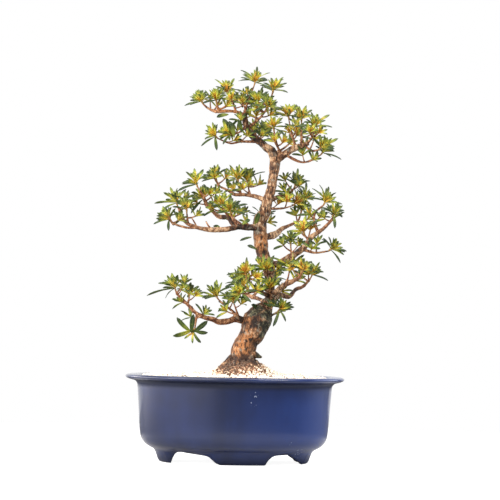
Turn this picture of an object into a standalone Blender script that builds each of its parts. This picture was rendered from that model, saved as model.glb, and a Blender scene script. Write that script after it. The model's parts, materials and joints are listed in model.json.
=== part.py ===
"""Satsuki azalea bonsai in an oval blue-glazed pot, as closed solids in metres, +Z up.

The origin lies on the surface that the pot stands on, under the middle of the pot. +X is
the right of the front view and -Y is the front. One object holds the pot, one the soil, one
the trunk with its roots, branches and twigs, which grew as one piece, and one each spray of
leaves. The routes of the wood and the places of the sprays are given in millimetres as they
look from the front; place() turns them into the tree as it stands.
"""
import math
import random
from collections import namedtuple

import bmesh
import bpy
from mathutils import Matrix, Vector
from mathutils.bvhtree import BVHTree

MM = 0.001
GAP = 0.3                       # clearance between neighbouring solids, mm

# How the tree stands in its pot, against the plane in which its routes are given
VIEW_DISTANCE = 2100.0          # from the eye to the middle of the pot, mm
EYE_X = 18.0
EYE_Z = 160.0
LEAN = math.radians(1.2)        # to the left, about the middle of the rim
LEAN_Z = 101.0
TURN = math.radians(-6.5)       # about the upright through the pot

# Pot, mm
LIP_X = 131.6                   # half the length over the lip
LIP_Y = 101.0                   # half the depth over the lip
RIM_Z = 102.7
FLOOR_TOP_Z = 21.0
OVAL = 2.25                     # power of the oval: 2 is an ellipse, more is squarer
POT_SIDES = 32
FOOT_INNER_Z = 14.0
DRAIN_RADIUS = 8.0
DRAIN_X = 45.0
# Inset from the lip and height, from the middle of the inside floor round to the underside
POT_PROFILE = [
    (42, FLOOR_TOP_Z), (30, 25), (26, 34), (20.5, 100.2), (17.5, RIM_Z),
    (6, 103.2), (1.8, 102.3), (0, 100.5), (1.6, 98.6), (6, 97), (12, 95.6), (15, 92.5),
    (19.2, 38), (20.2, 31), (22.3, 25.5), (26, 21), (30.5, 18), (35.5, 15.4),
    (38, 12), (41.5, 2.5), (43.5, 0), (54, 0), (51.5, FOOT_INNER_Z),
]
# The cloud-shaped gaps left and right of the front foot, seen from the front: x and z
FOOT_GAPS = {
    -1: [(20, -1), (23, 0.8), (26, 2), (31, 6.3), (35, 9.3), (41, 10.7), (48, 11.6),
         (59, 12.9), (66, 13.8), (71, 12.5), (74, 8), (76, 2.5), (77, -1)],
    1: [(31, -1), (32.5, 1.2), (35.5, 5.8), (39, 9), (42, 10.6), (46.5, 11.6), (60, 12),
        (64, 10.2), (68, 7.5), (72, 4.6), (76, 2), (78, -1)],
}
# The gaps from there round the corners to the end feet, seen from the end: y and z
CORNER_GAPS = {
    -1: [(31, -1), (32.5, 3), (35, 8), (38, 12), (43, 13.8), (75, 13.8), (75, -1)],
    1: [(30, -1), (31.5, 1.8), (38, 4.8), (43, 9), (48, 12), (56, 13.2), (75, 13.2), (75, -1)],
}
CORNER_X = 60                   # where they start

# Soil, mm
SOIL_INSET = 20.3               # of its edge from the lip
SOIL_GAP = 0.35                 # to the pot's inner wall and floor
SOIL_EDGE_Z = 100.6
SOIL_SHOULDER = 2.5             # rise from the edge to the flat of the soil
MOUND_X = 10.0                  # the mound's middle, under the trunk
MOUND_RISE = 12.0
MOUND_RADIUS = 38.0
SOIL_RINGS = 5
RELIEF = 0.9                    # grains standing out of the top

# Leaves, mm
LEAF_LENGTH = 19.0
LEAF_HALF_WIDTH = 2.9
KEEL = 1.1                      # depth of a blade under its edges
ARCH = 1.6
CORE_RADIUS = 2.3
CORE_LENGTH = 8.5
ROOT_LOW = 2.6                  # where the lowest and highest leaf leave the core
ROOT_HIGH = 6.6                 # on the core
ROOT_OUT = 0.68                # share of the core's radius at which a blade is rooted
CORE_TAPER = 0.5                # radius of the core's top against its foot
CLEAR = 0.25                    # each blade is grown by this when it is tested
WOOD_CLEAR = 1.0                # from a blade's outer part to the wood
GOLDEN_ANGLE = math.radians(137.5)
TRIES = 14
LONG_LEAF = 17.0                # a longer one has a section more
# Along a blade: share of its length and of its width; the tip follows the last
OUTLINE_SECTIONS = ((0.0, 0.14), (0.32, 0.76), (0.66, 1.0))
FILLING_SECTIONS = ((0.0, 0.14), (0.55, 1.0))

# Trunk: x, y, z and radius
TRUNK = [
    (10, 0, 84, 16.5), (10, 0, 102, 17.2), (10, 0, 109, 16.3), (10, 0, 119, 14.6),
    (10, 0, 128, 15.1), (11, -1, 136, 13.9), (16, -2, 145, 13.0), (21, -2, 154, 14.4),
    (24, -1, 163, 16.3), (29, 0, 172, 16.0), (33, 3, 180, 11.8), (38, 4, 187, 7.6),
    (42, 5, 195, 6.0), (42, 5, 206, 5.8), (41, 5, 222, 6.2), (39, 4, 235, 6.4),
    (34, 3, 247, 7.0), (31, 1, 262, 8.2), (30, -1, 276, 8.2), (30, -2, 288, 7.9),
    (36, -3, 299, 6.7), (39, -3, 312, 6.0), (43, -1, 325, 5.5), (46, 1, 342, 5.5),
    (48, 3, 359, 6.2), (48, 3, 367, 5.6),
]
# Roots that flare into the soil, from inside the trunk's foot
ROOTS = {
    "root_left": [(6, 0, 127, 7), (-5, -3, 120, 6.5), (-13, -6, 113, 5), (-24, -10, 104, 3)],
    "root_front": [(8, -4, 126, 7), (3, -14, 116, 6), (0, -24, 106, 3.2)],
    "root_front_right": [(13, -4, 125, 7), (20, -13, 116, 5.4), (27, -22, 107, 3)],
    "root_right": [(14, 0, 124, 7), (25, 2, 115, 5), (36, 4, 106, 3)],
    "root_back": [(10, 4, 126, 7), (14, 16, 116, 5.6), (17, 27, 106, 3)],
    "root_back_left": [(7, 4, 126, 7), (-3, 13, 116, 5.6), (-11, 22, 106, 3)],
}
# Branches: x, y, z and radius, each starting inside what it grows from
BRANCHES = {
    "leader": [(48, 3, 364, 5.6), (44, 3, 373, 5.4), (37, 2, 377, 5.0), (31, 2, 383, 4.7),
               (24, 1, 388, 4.5), (19, 0, 394, 4.2), (14, -1, 402, 3.7), (12, -3, 410, 3.5),
               (11, -4, 418, 3.0)],
    "right_limb": [(48, 3, 361, 5.0), (53, 3, 365, 5.0), (60, 1, 369, 4.3),
                   (67, -1, 374, 3.8), (74, -3, 377, 3.6), (82, -5, 379, 3.2),
                   (88, -8, 382, 2.7)],
    "crown_left": [(11, -4, 416, 2.6), (1, -5, 420, 2.2), (-11, -6, 421, 1.9),
                   (-22, -8, 420, 1.5)],
    "upper_left": [(40, -3, 310, 3.6), (32, 0, 315, 3.0), (24, 4, 318, 2.5),
                   (11, 8, 320, 2.2), (0, 10, 320, 1.9), (-8, 13, 325, 1.6),
                   (-19, 16, 330, 1.2)],
    "long_left": [(30, -2, 280, 4.3), (21, -8, 280, 4.1), (4, -14, 281, 3.8),
                  (-12, -18, 278, 3.1), (-31, -20, 278, 2.8), (-44, -22, 280, 2.4),
                  (-55, -22, 284, 2.2), (-61, -20, 289, 1.8), (-66, -18, 300, 1.4)],
    "left_inner": [(5, -14, 281, 3.2), (-2, -12, 284, 3.2), (-8, -6, 292, 3.0),
                   (-20, 0, 294, 2.5), (-30, 6, 303, 2.0), (-35, 8, 307, 1.6)],
    "long_left_twig": [(-46, -22, 280, 1.5), (-56, -25, 280, 1.4), (-65, -28, 282, 1.3),
                       (-74, -30, 285, 1.1)],
    "back_right": [(40, -2, 310, 2.9), (44, 6, 313, 2.6), (51, 14, 317, 2.3),
                   (62, 24, 319, 1.9), (68, 28, 324, 1.5)],
    "back_mid": [(31, 3, 268, 4.1), (42, 12, 270, 3.8), (50, 22, 273, 3.4),
                 (57, 32, 279, 2.6), (70, 42, 285, 1.8)],
    "big_right": [(38, 2, 240, 4.3), (50, -6, 236, 4.1), (68, -16, 246, 4.0),
                  (78, -20, 253, 3.6), (86, -24, 260, 3.1), (92, -26, 269, 2.8),
                  (105, -26, 278, 2.2), (115, -24, 288, 1.4)],
    "red_right": [(42, 4, 197, 3.8), (46, -3, 200, 3.6), (52, -10, 205, 3.5),
                  (59, -18, 211, 3.1), (70, -26, 216, 2.4), (78, -30, 221, 1.6)],
    "low_back": [(41, 6, 192, 3.8), (49, 14, 197, 3.6), (56, 20, 199, 3.4),
                 (65, 28, 198, 3.0), (73, 38, 206, 2.5), (81, 44, 209, 2.0),
                 (88, 50, 216, 1.5)],
    "low_left": [(26, 0, 168, 4.8), (13, -4, 168, 4.3), (1, -8, 170, 4.1),
                 (-8, -12, 168, 3.6), (-19, -16, 167, 3.4), (-26, -20, 170, 3.1),
                 (-35, -24, 172, 2.9), (-46, -28, 177, 2.5), (-54, -30, 185, 2.2),
                 (-61, -30, 192, 1.9), (-69, -30, 200, 1.4)],
    "front_left": [(41, 3, 197, 2.9), (35, -7, 201, 2.5), (25, -16, 207, 2.2),
                   (16, -24, 216, 1.4)],
    "back_upper": [(31, 2, 276, 3.1), (27, 22, 279, 2.6), (11, 42, 282, 2.0),
                   (-3, 54, 292, 1.5)],
    "back_low": [(36, 5, 185, 3.4), (32, 24, 193, 2.6), (18, 42, 198, 2.0),
                 (8, 54, 204, 1.5)],
    "back_crown": [(47, 2, 352, 2.9), (49, 20, 364, 2.4), (40, 34, 376, 1.8),
                   (30, 41, 386, 1.2)],
}
TWIG_RADIUS = 1.25              # where a twig leaves its branch
TWIG_END_RADIUS = 0.85          # where its spray begins

# A spray: its twig's route from the branch to its foot, the tips of the leaves that give it
# its outline, counted from its foot, how many more leaves a rule adds, and how golden it is
Spray = namedtuple("Spray", "name twig tips more gold")
Leaf = namedtuple("Leaf", "root tip half_width facing sections")
SPRAYS = [
    Spray("crown_top", [(11, -4, 418), (14, -4, 428), (18, -5, 439), (23, -4, 452)],
          [(4, 0, 23), (-16, -8, 19), (-19, 8, 6), (19, -13, 16), (16, 15, 8),
           (22, -17, -5)], 2, 0.5),
    Spray("crown_left_top", [(1, -5, 420), (-2, -4, 430), (-7, -2, 439)],
          [(-2, 0, 18), (-17, -8, 21), (6, 6, 22), (12, 13, 8)], 2, 0.6),
    Spray("crown_left_mid", [(-20, -8, 421), (-22, -10, 430)],
          [(-14, -6, 7), (-3, 6, 18), (9, -10, 12)], 3, 0.35),
    Spray("crown_left_tip", [(-22, -8, 420), (-32, -8, 424), (-38, -8, 429)],
          [(-23, -6, -1), (-1, 4, 18), (-6, -13, 13), (-14, 10, 8)], 2, 0.35),
    Spray("crown_back", [(13, -4, 424), (10, 8, 428)],
          [(6, 6, 23), (-11, 15, 18), (10, 19, 13)], 2, 0.4),
    Spray("crown_right", [(15, -1, 401), (26, 0, 409), (35, 0, 419), (40, 0, 428), (45, 0, 442)],
          [(6, 0, 18), (13, -10, 18), (19, 6, 2), (-11, 10, 14)], 2, 0.45),
    Spray("crown_middle", [(34, 0, 418), (29, -8, 428)],
          [(0, 4, 19), (11, -8, 17), (-11, -6, 14), (-16, 10, 6)], 2, 0.3),
    Spray("crown_front", [(26, 0, 409), (32, -8, 415), (37, -14, 422)],
          [(13, -8, 13), (20, -6, 2), (-14, -13, -1), (-4, 10, 17)], 2, 0.3),
    Spray("leader_left", [(14, -2, 403), (6, -7, 396), (-2, -10, 392)],
          [(-13, -10, 19), (5, 4, 19), (-16, 10, 7)], 2, 0.2),
    Spray("shoulder_left", [(25, 1, 384), (7, -2, 384), (-6, -4, 382), (-21, -4, 388)],
          [(-15, 4, 10), (-5, -10, 17), (-20, -8, -9), (-1, -15, -14), (13, 13, 12)], 2, 0.35),
    Spray("shoulder_front", [(56, 2, 369), (52, -6, 376), (49, -11, 385), (47, -12, 396)],
          [(10, -6, 12), (16, 6, 6), (13, -13, -4), (-8, 8, 11)], 2, 0.7),
    Spray("fork_back", [(25, 1, 386), (30, 6, 389)],
          [(2, 8, 20), (10, 15, 14), (-6, -4, 15)], 2, 0.1),
    Spray("right_yellow", [(73, -3, 377), (68, -1, 395), (65, 0, 410)],
          [(-10, -6, 18), (-4, 6, 20), (-21, -8, 17), (-24, 8, 10), (9, 10, 18),
           (9, -13, 5)], 2, 0.8),
    Spray("right_middle", [(80, -4, 379), (80, 4, 394), (80, 9, 407)],
          [(-9, 8, 23), (6, 0, 21), (0, -10, 15), (12, 15, 10)], 2, 0.5),
    Spray("right_outer", [(85, -6, 380), (92, -8, 388), (95, -8, 398)],
          [(-3, 4, 22), (5, -8, 19), (19, 6, 19), (22, -6, 4), (-12, -15, 21), (-12, -19, 10),
           (-23, -8, 4), (-14, -17, -4)], 1, 0.5),
    Spray("right_low", [(84, -6, 379), (92, -12, 373), (100, -16, 374)],
          [(2, 6, 19), (-6, -6, 14), (8, -13, 18), (24, -4, 14), (20, 8, 2)], 2, 0.3),
    Spray("right_hanging", [(60, 1, 369), (70, 0, 363), (82, -1, 359), (92, -2, 362),
           (103, -2, 368)],
          [(25, -6, -5), (17, 10, 5), (-1, 15, 15), (-14, 19, 4)], 2, 0.1),
    Spray("upper_left_end", [(-19, 16, 330), (-22, 17, 336)],
          [(-3, 0, 20), (14, 8, 16), (-19, -8, 4), (-11, 15, 13)], 2, 0.4),
    Spray("upper_left_front", [(7, 9, 320), (4, 4, 334)],
          [(-2, 6, 21), (-14, -8, 17), (10, -10, 19)], 2, 0.5),
    Spray("upper_left_back", [(18, 6, 319), (15, 15, 333)],
          [(7, 8, 20), (21, -6, 15), (-4, 15, 16)], 2, 0.4),
    Spray("upper_left_twig", [(-32, 5, 305), (-38, 0, 318), (-45, -4, 329)],
          [(-4, 6, 23), (-14, -8, 19), (-19, 10, 6), (7, 10, 22), (14, -10, 16),
           (-24, -6, -4)], 1, 0.4),
    Spray("left_end", [(-66, -18, 300), (-69, -17, 306)],
          [(-9, 6, 23), (-17, -8, 17), (-28, 4, 4), (-1, -13, 22), (10, 10, 21),
           (-18, -15, -4)], 1, 0.3),
    Spray("left_end_front", [(-57, -22, 286), (-58, -28, 298)],
          [(0, -6, 21), (10, -8, 12), (-12, -13, 12)], 2, 0.4),
    Spray("left_low", [(-74, -30, 285), (-77, -30, 287)],
          [(-15, -6, 10), (-10, 6, 19), (-21, -8, -2), (-3, -13, -10), (9, -13, 10)], 1, 0.4),
    Spray("left_inner", [(-35, 8, 307), (-37, 9, 311)],
          [(-14, -10, 13), (-17, -19, 0), (-2, 4, 21), (13, 10, 17), (-16, -13, -13)], 2, 0.6),
    Spray("left_inner_front", [(-8, -6, 292), (-14, -9, 303)],
          [(-10, -6, 15), (2, 6, 22), (11, -8, 19), (-15, -13, 3)], 2, 0.4),
    Spray("left_mid_front", [(4, -14, 281), (-2, -18, 289), (-5, -21, 296)],
          [(20, -6, 13), (9, 6, 15), (-2, -10, 18), (18, -13, 0)], 2, 0.3),
    Spray("back_right_top", [(68, 28, 324), (71, 30, 328)],
          [(5, 4, 24), (-10, -8, 16), (12, 8, 16)], 2, 0.2),
    Spray("back_right_end", [(59, 22, 318), (70, 26, 311), (79, 30, 312)],
          [(7, 6, 24), (18, -6, 10), (-3, -13, 19)], 2, 0.2),
    Spray("back_right_gold", [(38, -3, 304), (48, 6, 303), (60, 15, 304), (70, 20, 307)],
          [(-14, -8, 7), (-8, 6, 17), (1, -6, 22)], 2, 0.9),
    Spray("right_crest", [(100, -26, 274), (95, -20, 288), (97, -15, 299), (106, -11, 307)],
          [(-13, 6, 21), (-19, -6, 9), (-4, -10, 25), (7, 6, 23), (15, -8, 16),
           (23, 6, 2)], 1, 0.3),
    Spray("right_end", [(115, -24, 288), (117, -24, 292)],
          [(7, -6, 15), (13, 8, 10), (12, -13, 1), (-13, 4, 13), (3, -17, -12)], 1, 0.1),
    Spray("right_gold", [(89, -25, 264), (84, -29, 271)],
          [(0, -4, 23), (-14, 6, 18), (-21, -6, 5), (14, -6, 16)], 2, 0.8),
    Spray("right_column", [(70, 42, 285), (76, 44, 289), (79, 44, 297)],
          [(1, -4, 16), (-11, 6, 8), (11, 4, 10), (15, -10, 3)], 2, 0.2),
    Spray("right_green", [(68, -16, 246), (67, -11, 257)],
          [(-4, 4, 20), (-14, -6, 13), (7, 8, 17), (13, -13, 7)], 2, 0.1),
    Spray("right_red_stem", [(82, -21, 254), (96, -21, 250), (112, -22, 252)],
          [(-8, 6, 15), (12, -6, 12), (15, -4, -14), (15, 8, -1)], 2, 0.1),
    Spray("mid_right_yellow", [(59, -18, 211), (63, -16, 218), (65, -16, 226)],
          [(-4, -4, 27), (5, -8, 24), (18, 4, 22), (-21, -6, 20), (-15, -15, 13),
           (-15, -10, 2), (17, -13, 10)], 1, 0.6),
    Spray("mid_right_gold", [(78, -30, 221), (79, -30, 225)],
          [(1, -4, 19), (13, 6, 15), (14, -10, 4), (-12, -13, 9)], 1, 0.8),
    Spray("low_back_end", [(88, 50, 216), (91, 50, 220)],
          [(1, -4, 20), (12, 6, 14), (21, 4, -3), (-9, 10, 12)], 2, 0.2),
    Spray("front_left_gold", [(16, -24, 216), (14, -25, 220)],
          [(-6, -4, 18), (-24, -6, 4), (13, -10, 12), (-19, -13, -6)], 2, 0.8),
    Spray("front_left_low", [(25, -16, 207), (17, -28, 202), (10, -35, 200)],
          [(-4, 4, 19), (-17, 6, 10), (-21, -8, -2), (17, -6, 5), (9, -13, -9)], 2, 0.5),
    Spray("low_left_inner", [(2, -7, 170), (-1, -4, 178), (-12, -5, 187), (-20, -6, 194)],
          [(-2, 4, 24), (-14, 6, 18), (16, -6, 16), (20, 10, 2), (-16, -10, 1)], 1, 0.3),
    Spray("low_left_front", [(5, -7, 169), (2, -16, 180), (-1, -21, 188)],
          [(3, -4, 20), (-11, -8, 15), (12, -10, 9), (-11, -6, 0)], 1, 0.3),
    Spray("low_left_end", [(-69, -30, 200), (-71, -30, 204)],
          [(-5, 4, 22), (-21, -6, 10), (-35, 6, -5), (2, -13, 20), (15, 8, 16),
           (-13, -17, -8)], 1, 0.3),
    Spray("low_left_back", [(-57, -30, 188), (-55, -22, 196)],
          [(-7, 13, 18), (12, 10, 14), (-16, 17, 10)], 2, 0.3),
    Spray("low_left_hanging", [(-46, -28, 176), (-47, -31, 167), (-48, -31, 160)],
          [(-22, -6, 12), (-26, -10, -10), (-2, -15, 16), (15, -8, 8), (15, -10, -6)], 1, 0.1),
    Spray("trunk_right", [(32, 1, 175), (43, -7, 175), (51, -11, 179)],
          [(0, -6, 15), (16, -6, 5), (10, -10, -11), (-5, -15, -17), (-12, -17, 9)], 1, 0.1),
    Spray("trunk_front_high", [(39, 4, 222), (38, -14, 227)],
          [(-5, -8, 18), (9, -6, 20), (-13, -13, 7)], 2, 0.5),
    Spray("trunk_front_low", [(42, 4, 198), (42, -14, 205)],
          [(-6, -6, 17), (7, -8, 14), (-13, -13, 4)], 2, 0.4),
    Spray("back_upper", [(-3, 54, 292), (-5, 56, 297)],
          [(-10, 6, 17), (12, 8, 16), (0, -6, 23)], 3, 0.3),
    Spray("back_upper_side", [(17, 35, 281), (26, 52, 283), (31, 62, 289)],
          [(-10, 4, 17), (10, 6, 13), (0, -6, 20)], 3, 0.3),
    Spray("back_low", [(8, 54, 204), (5, 57, 209)],
          [(-13, 4, 14), (11, 6, 16), (-1, -6, 23)], 3, 0.3),
    Spray("back_low_side", [(20, 38, 196), (32, 56, 208), (42, 64, 215)],
          [(-10, 6, 19), (14, 4, 14), (1, -6, 22)], 3, 0.3),
    Spray("back_crown", [(30, 41, 386), (26, 43, 391)],
          [(-10, 6, 18), (12, 6, 16), (0, -4, 25)], 3, 0.4),
    Spray("back_crown_side", [(46, 26, 369), (60, 42, 377), (72, 48, 388)],
          [(-10, 6, 17), (11, 6, 16), (0, -6, 24)], 3, 0.4),
]


def place(x, y, z):
    """Where a point that is given as it looks from the front stands in the tree, in mm.

    A point y behind the middle looks smaller by D / (D + y), so it is moved out from the
    line of sight by the inverse; then the tree leans and turns with its pot.
    """
    far = 1.0 + y / VIEW_DISTANCE
    x = EYE_X + (x - EYE_X) * far
    z = EYE_Z + (z - EYE_Z) * far
    up = z - LEAN_Z
    leant_x = x * math.cos(LEAN) - up * math.sin(LEAN)
    leant_z = LEAN_Z + x * math.sin(LEAN) + up * math.cos(LEAN)
    return Vector((leant_x * math.cos(TURN) - y * math.sin(TURN),
                   leant_x * math.sin(TURN) + y * math.cos(TURN),
                   leant_z))


def material(name, colour, roughness, metallic=0.0):
    """A Principled material."""
    mat = bpy.data.materials.new(name)
    mat.use_nodes = True
    shader = mat.node_tree.nodes["Principled BSDF"]
    shader.inputs["Base Color"].default_value = (*colour, 1.0)
    shader.inputs["Roughness"].default_value = roughness
    shader.inputs["Metallic"].default_value = metallic
    return mat


def new_collection(name):
    """A collection in the scene."""
    collection = bpy.data.collections.new(name)
    bpy.context.scene.collection.children.link(collection)
    return collection


def mesh_object(name, verts, faces, collection, mat=None):
    """An object from points in mm and faces, with its faces turned outward."""
    mesh = bpy.data.meshes.new(name)
    mesh.from_pydata([Vector(v) * MM for v in verts], [], faces)
    bm = bmesh.new()
    bm.from_mesh(mesh)
    bmesh.ops.recalc_face_normals(bm, faces=bm.faces)
    bm.to_mesh(mesh)
    bm.free()
    if mat:
        mesh.materials.append(mat)
    obj = bpy.data.objects.new(name, mesh)
    collection.objects.link(obj)
    return obj


def loft(rings):
    """Points and faces of a closed solid through rings of equal count, capped at both ends."""
    sides = len(rings[0])
    verts = [point for ring in rings for point in ring]
    faces = []
    for row in range(len(rings) - 1):
        for i in range(sides):
            j = (i + 1) % sides
            faces.append((row * sides + i, row * sides + j,
                          (row + 1) * sides + j, (row + 1) * sides + i))
    faces.append(tuple(range(sides)))
    faces.append(tuple((len(rings) - 1) * sides + i for i in range(sides)))
    return verts, faces


def tube(name, points, sides, collection):
    """A round bar through points of (place, radius), as a welded mesh object."""
    curve = bpy.data.curves.new(name, "CURVE")
    curve.dimensions = "3D"
    curve.bevel_depth = MM
    curve.bevel_resolution = sides // 2 - 2
    curve.use_fill_caps = True
    spline = curve.splines.new("POLY")
    spline.points.add(len(points) - 1)
    for point, (centre, radius) in zip(spline.points, points):
        point.co = (*(centre * MM), 1.0)
        point.radius = radius
    bar = bpy.data.objects.new(name + "_curve", curve)
    collection.objects.link(bar)
    depsgraph = bpy.context.evaluated_depsgraph_get()
    mesh = bpy.data.meshes.new_from_object(bar.evaluated_get(depsgraph))
    bm = bmesh.new()
    bm.from_mesh(mesh)
    bmesh.ops.remove_doubles(bm, verts=bm.verts, dist=1e-6)
    bmesh.ops.recalc_face_normals(bm, faces=bm.faces)
    bm.to_mesh(mesh)
    bm.free()
    solid = bpy.data.objects.new(name, mesh)
    solid.matrix_world = bar.matrix_world
    collection.objects.link(solid)
    bpy.data.objects.remove(bar)
    return solid


def join(target, pieces, operation="UNION", solver="EXACT"):
    """Apply one Boolean of target with all the pieces, then remove the pieces."""
    helpers = new_collection(target.name + "_pieces")
    for piece in pieces:
        for holder in list(piece.users_collection):
            holder.objects.unlink(piece)
        helpers.objects.link(piece)
        piece.hide_render = True
        piece.display_type = "WIRE"
    boolean = target.modifiers.new("join", "BOOLEAN")
    boolean.operation = operation
    boolean.operand_type = "COLLECTION"
    boolean.collection = helpers
    boolean.solver = solver
    depsgraph = bpy.context.evaluated_depsgraph_get()
    mesh = bpy.data.meshes.new_from_object(target.evaluated_get(depsgraph))
    target.modifiers.remove(boolean)
    target.data = mesh
    for piece in pieces:
        bpy.data.objects.remove(piece)
    bpy.data.collections.remove(helpers)


def keep_one_material(obj, mat):
    """Give every face of a joined mesh the one material."""
    obj.data.materials.clear()
    obj.data.materials.append(mat)
    obj.data.polygons.foreach_set("material_index", [0] * len(obj.data.polygons))


def drop_scraps(obj):
    """Keep the largest body that a Boolean left, without its loose scraps."""
    bm = bmesh.new()
    bm.from_mesh(obj.data)
    unseen = set(bm.faces)
    bodies = []
    while unseen:
        body, edge_of_body = set(), [unseen.pop()]
        while edge_of_body:
            face = edge_of_body.pop()
            body.add(face)
            for edge in face.edges:
                for other in edge.link_faces:
                    if other in unseen:
                        unseen.remove(other)
                        edge_of_body.append(other)
        bodies.append(body)
    bodies.sort(key=len)
    for body in bodies[:-1]:
        bmesh.ops.delete(bm, geom=list(body), context="FACES")
    bm.to_mesh(obj.data)
    bm.free()


def oval_ring(inset, z, sides, shift=0.0):
    """Points round the pot's oval, inset from the lip.

    x = a |cos t|^(2/p) and y = b |sin t|^(2/p), each with the sign of its cos or sin.
    """
    ring = []
    for i in range(sides):
        angle = 2 * math.pi * (i + shift) / sides
        c, s = math.cos(angle), math.sin(angle)
        ring.append((
            math.copysign(abs(c) ** (2 / OVAL), c) * (LIP_X - inset),
            math.copysign(abs(s) ** (2 / OVAL), s) * (LIP_Y - inset),
            z,
        ))
    return ring


def build_pot(collection, cutters):
    """The oval pot: one lofted wall with lip and foot ring, cut into four cloud feet."""
    glaze = material("blue_glaze", (0.03, 0.07, 0.30), 0.12)
    rings = [oval_ring(inset, z, POT_SIDES) for inset, z in POT_PROFILE]
    pot = mesh_object("pot", *loft(rings), collection, glaze)
    pieces = []
    for side in (-1, 1):
        near = [(side * x, -LIP_Y, z) for x, z in FOOT_GAPS[side]]
        far = [(x, LIP_Y, z) for x, _, z in near]
        gap = mesh_object(f"foot_gap_{side}", *loft([near, far]), cutters)
        pieces.append(gap)
        for end in (-1, 1):
            inner = [(side * CORNER_X, end * y, z) for y, z in CORNER_GAPS[side]]
            outer = [(side * LIP_X, y, z) for _, y, z in inner]
            pieces.append(mesh_object("corner_gap", *loft([inner, outer]), cutters))
        bpy.ops.mesh.primitive_cylinder_add(
            vertices=12, radius=DRAIN_RADIUS * MM, depth=20 * MM,
            location=(side * DRAIN_X * MM, 0, FLOOR_TOP_Z * MM - 4 * MM))
        pieces.append(bpy.context.object)
    join(pot, pieces, "DIFFERENCE")
    keep_one_material(pot, glaze)
    pot.data.shade_smooth()
    pot.data.set_sharp_from_angle(angle=math.radians(35))
    return pot


def soil_height(x, y, reach):
    """Height of the soil; reach is 0 in the middle of the pot and 1 at its wall."""
    mound = MOUND_RISE * math.exp(-((x - MOUND_X) ** 2 + y ** 2) / MOUND_RADIUS ** 2)
    shoulder = SOIL_SHOULDER * (1 - reach ** 6)
    grains = RELIEF * (math.sin(0.9 * x + 1.3 * y) + math.sin(1.7 * x - 0.6 * y + 1)) / 2
    return SOIL_EDGE_Z + shoulder + mound + grains * (1 - reach ** 4)


def build_soil(collection):
    """The soil that fills the pot and mounds up round the trunk."""
    brown = material("soil", (0.62, 0.52, 0.42), 0.95)
    inner_wall = POT_PROFILE[:4]
    rings = [oval_ring(inset + SOIL_GAP, z + SOIL_GAP, POT_SIDES) for inset, z in inner_wall]
    for row in range(SOIL_RINGS):
        reach = 1 - row / SOIL_RINGS
        edge = oval_ring(SOIL_INSET, 0, POT_SIDES, 0.5 * (row % 2))
        rings.append([(x * reach, y * reach, soil_height(x * reach, y * reach, reach))
                      for x, y, _ in edge])
    rings[-1] = [(x, y, soil_height(0, 0, 0)) for x, y, _ in rings[-1]]
    soil = mesh_object("soil", *loft(rings), collection, brown)
    holes = [tube("hole_" + name, [(place(x, y, z), radius + GAP)
                                   for x, y, z, radius in grown(route)], sides, collection)
             for name, route, sides in wood_in_soil()]
    join(soil, holes, "DIFFERENCE")
    keep_one_material(soil, brown)
    drop_scraps(soil)
    return soil


def grown(route):
    """The route with its buried end reaching a little further."""
    x0, y0, z0, _ = route[-2]
    x1, y1, z1, radius = route[-1]
    if z1 > z0:
        (x0, y0, z0, _), (x1, y1, z1, radius) = route[1], route[0]
    step = GAP / math.dist((x0, y0, z0), (x1, y1, z1))
    end = (x1 + (x1 - x0) * step, y1 + (y1 - y0) * step, z1 + (z1 - z0) * step, radius)
    return [end] + route[1:] if route[0][2] < route[-1][2] else route[:-1] + [end]


def wood_in_soil():
    """Name, route and sides of each piece of wood that reaches into the soil."""
    trunk_foot = [point for point in TRUNK if point[2] < 140]
    return [("trunk", trunk_foot, 12)] + [(name, route, 6) for name, route in ROOTS.items()]


def twig_route(spray):
    """Points and radii of the twig that carries a spray."""
    last = len(spray.twig) - 1
    return [(*point, TWIG_RADIUS + (TWIG_END_RADIUS - TWIG_RADIUS) * i / last)
            for i, point in enumerate(spray.twig)]


def wood_routes():
    """Every stretch of wood: name, points of (place, radius) and how many sides."""
    stretches = [("trunk", TRUNK, 12)]
    stretches += [(name, route, 6) for name, route in ROOTS.items()]
    stretches += [(name, route, 8 if route[0][3] > 4.5 else 6)
                  for name, route in BRANCHES.items()]
    stretches += [("twig_" + spray.name, twig_route(spray), 4) for spray in SPRAYS]
    return [(name, [(place(x, y, z), radius) for x, y, z, radius in route], sides)
            for name, route, sides in stretches]


def build_wood(collection):
    """Trunk, roots, branches and twigs, joined as one solid."""
    bark = material("bark", (0.36, 0.20, 0.11), 0.85)
    tubes = [tube(name, points, sides, collection) for name, points, sides in wood_routes()]
    wood = tubes[0]
    wood.name = "wood"
    join(wood, tubes[1:])
    keep_one_material(wood, bark)
    drop_scraps(wood)
    return wood


def blade(root, tip, half_width, facing, sections, grow=0.0):
    """Points and faces of a closed leaf blade from its root to its tip.

    Three points make each section: the two edges and the keel under the midrib. The midrib
    rises in an arch, ARCH sin(pi t), and the blade is widest past its middle.
    """
    along = tip - root
    length = along.length
    along = along / length
    side = along.cross(facing)
    if side.length < 0.05:
        side = along.cross(Vector((0.3, 1.0, 0.2)))
    side.normalize()
    above = side.cross(along)
    width = half_width + grow
    verts = []
    for t, share in sections:
        centre = root + along * (length * t) + above * (ARCH * math.sin(math.pi * t))
        half = max(width * share, 0.45 + grow)
        keel = (KEEL if t else 0.65) + grow
        verts += [centre + side * half + above * grow, centre - side * half + above * grow,
                  centre - above * keel]
    verts.append(tip + along * grow)
    last = len(verts) - 1
    faces = [(0, 1, 2), (last - 3, last - 2, last), (last - 2, last - 1, last),
             (last - 1, last - 3, last)]
    for row in range(0, last - 3, 3):
        for i in range(3):
            j = (i + 1) % 3
            faces += [(row + i, row + j, row + 3 + j), (row + i, row + 3 + j, row + 3 + i)]
    return verts, faces


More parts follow.
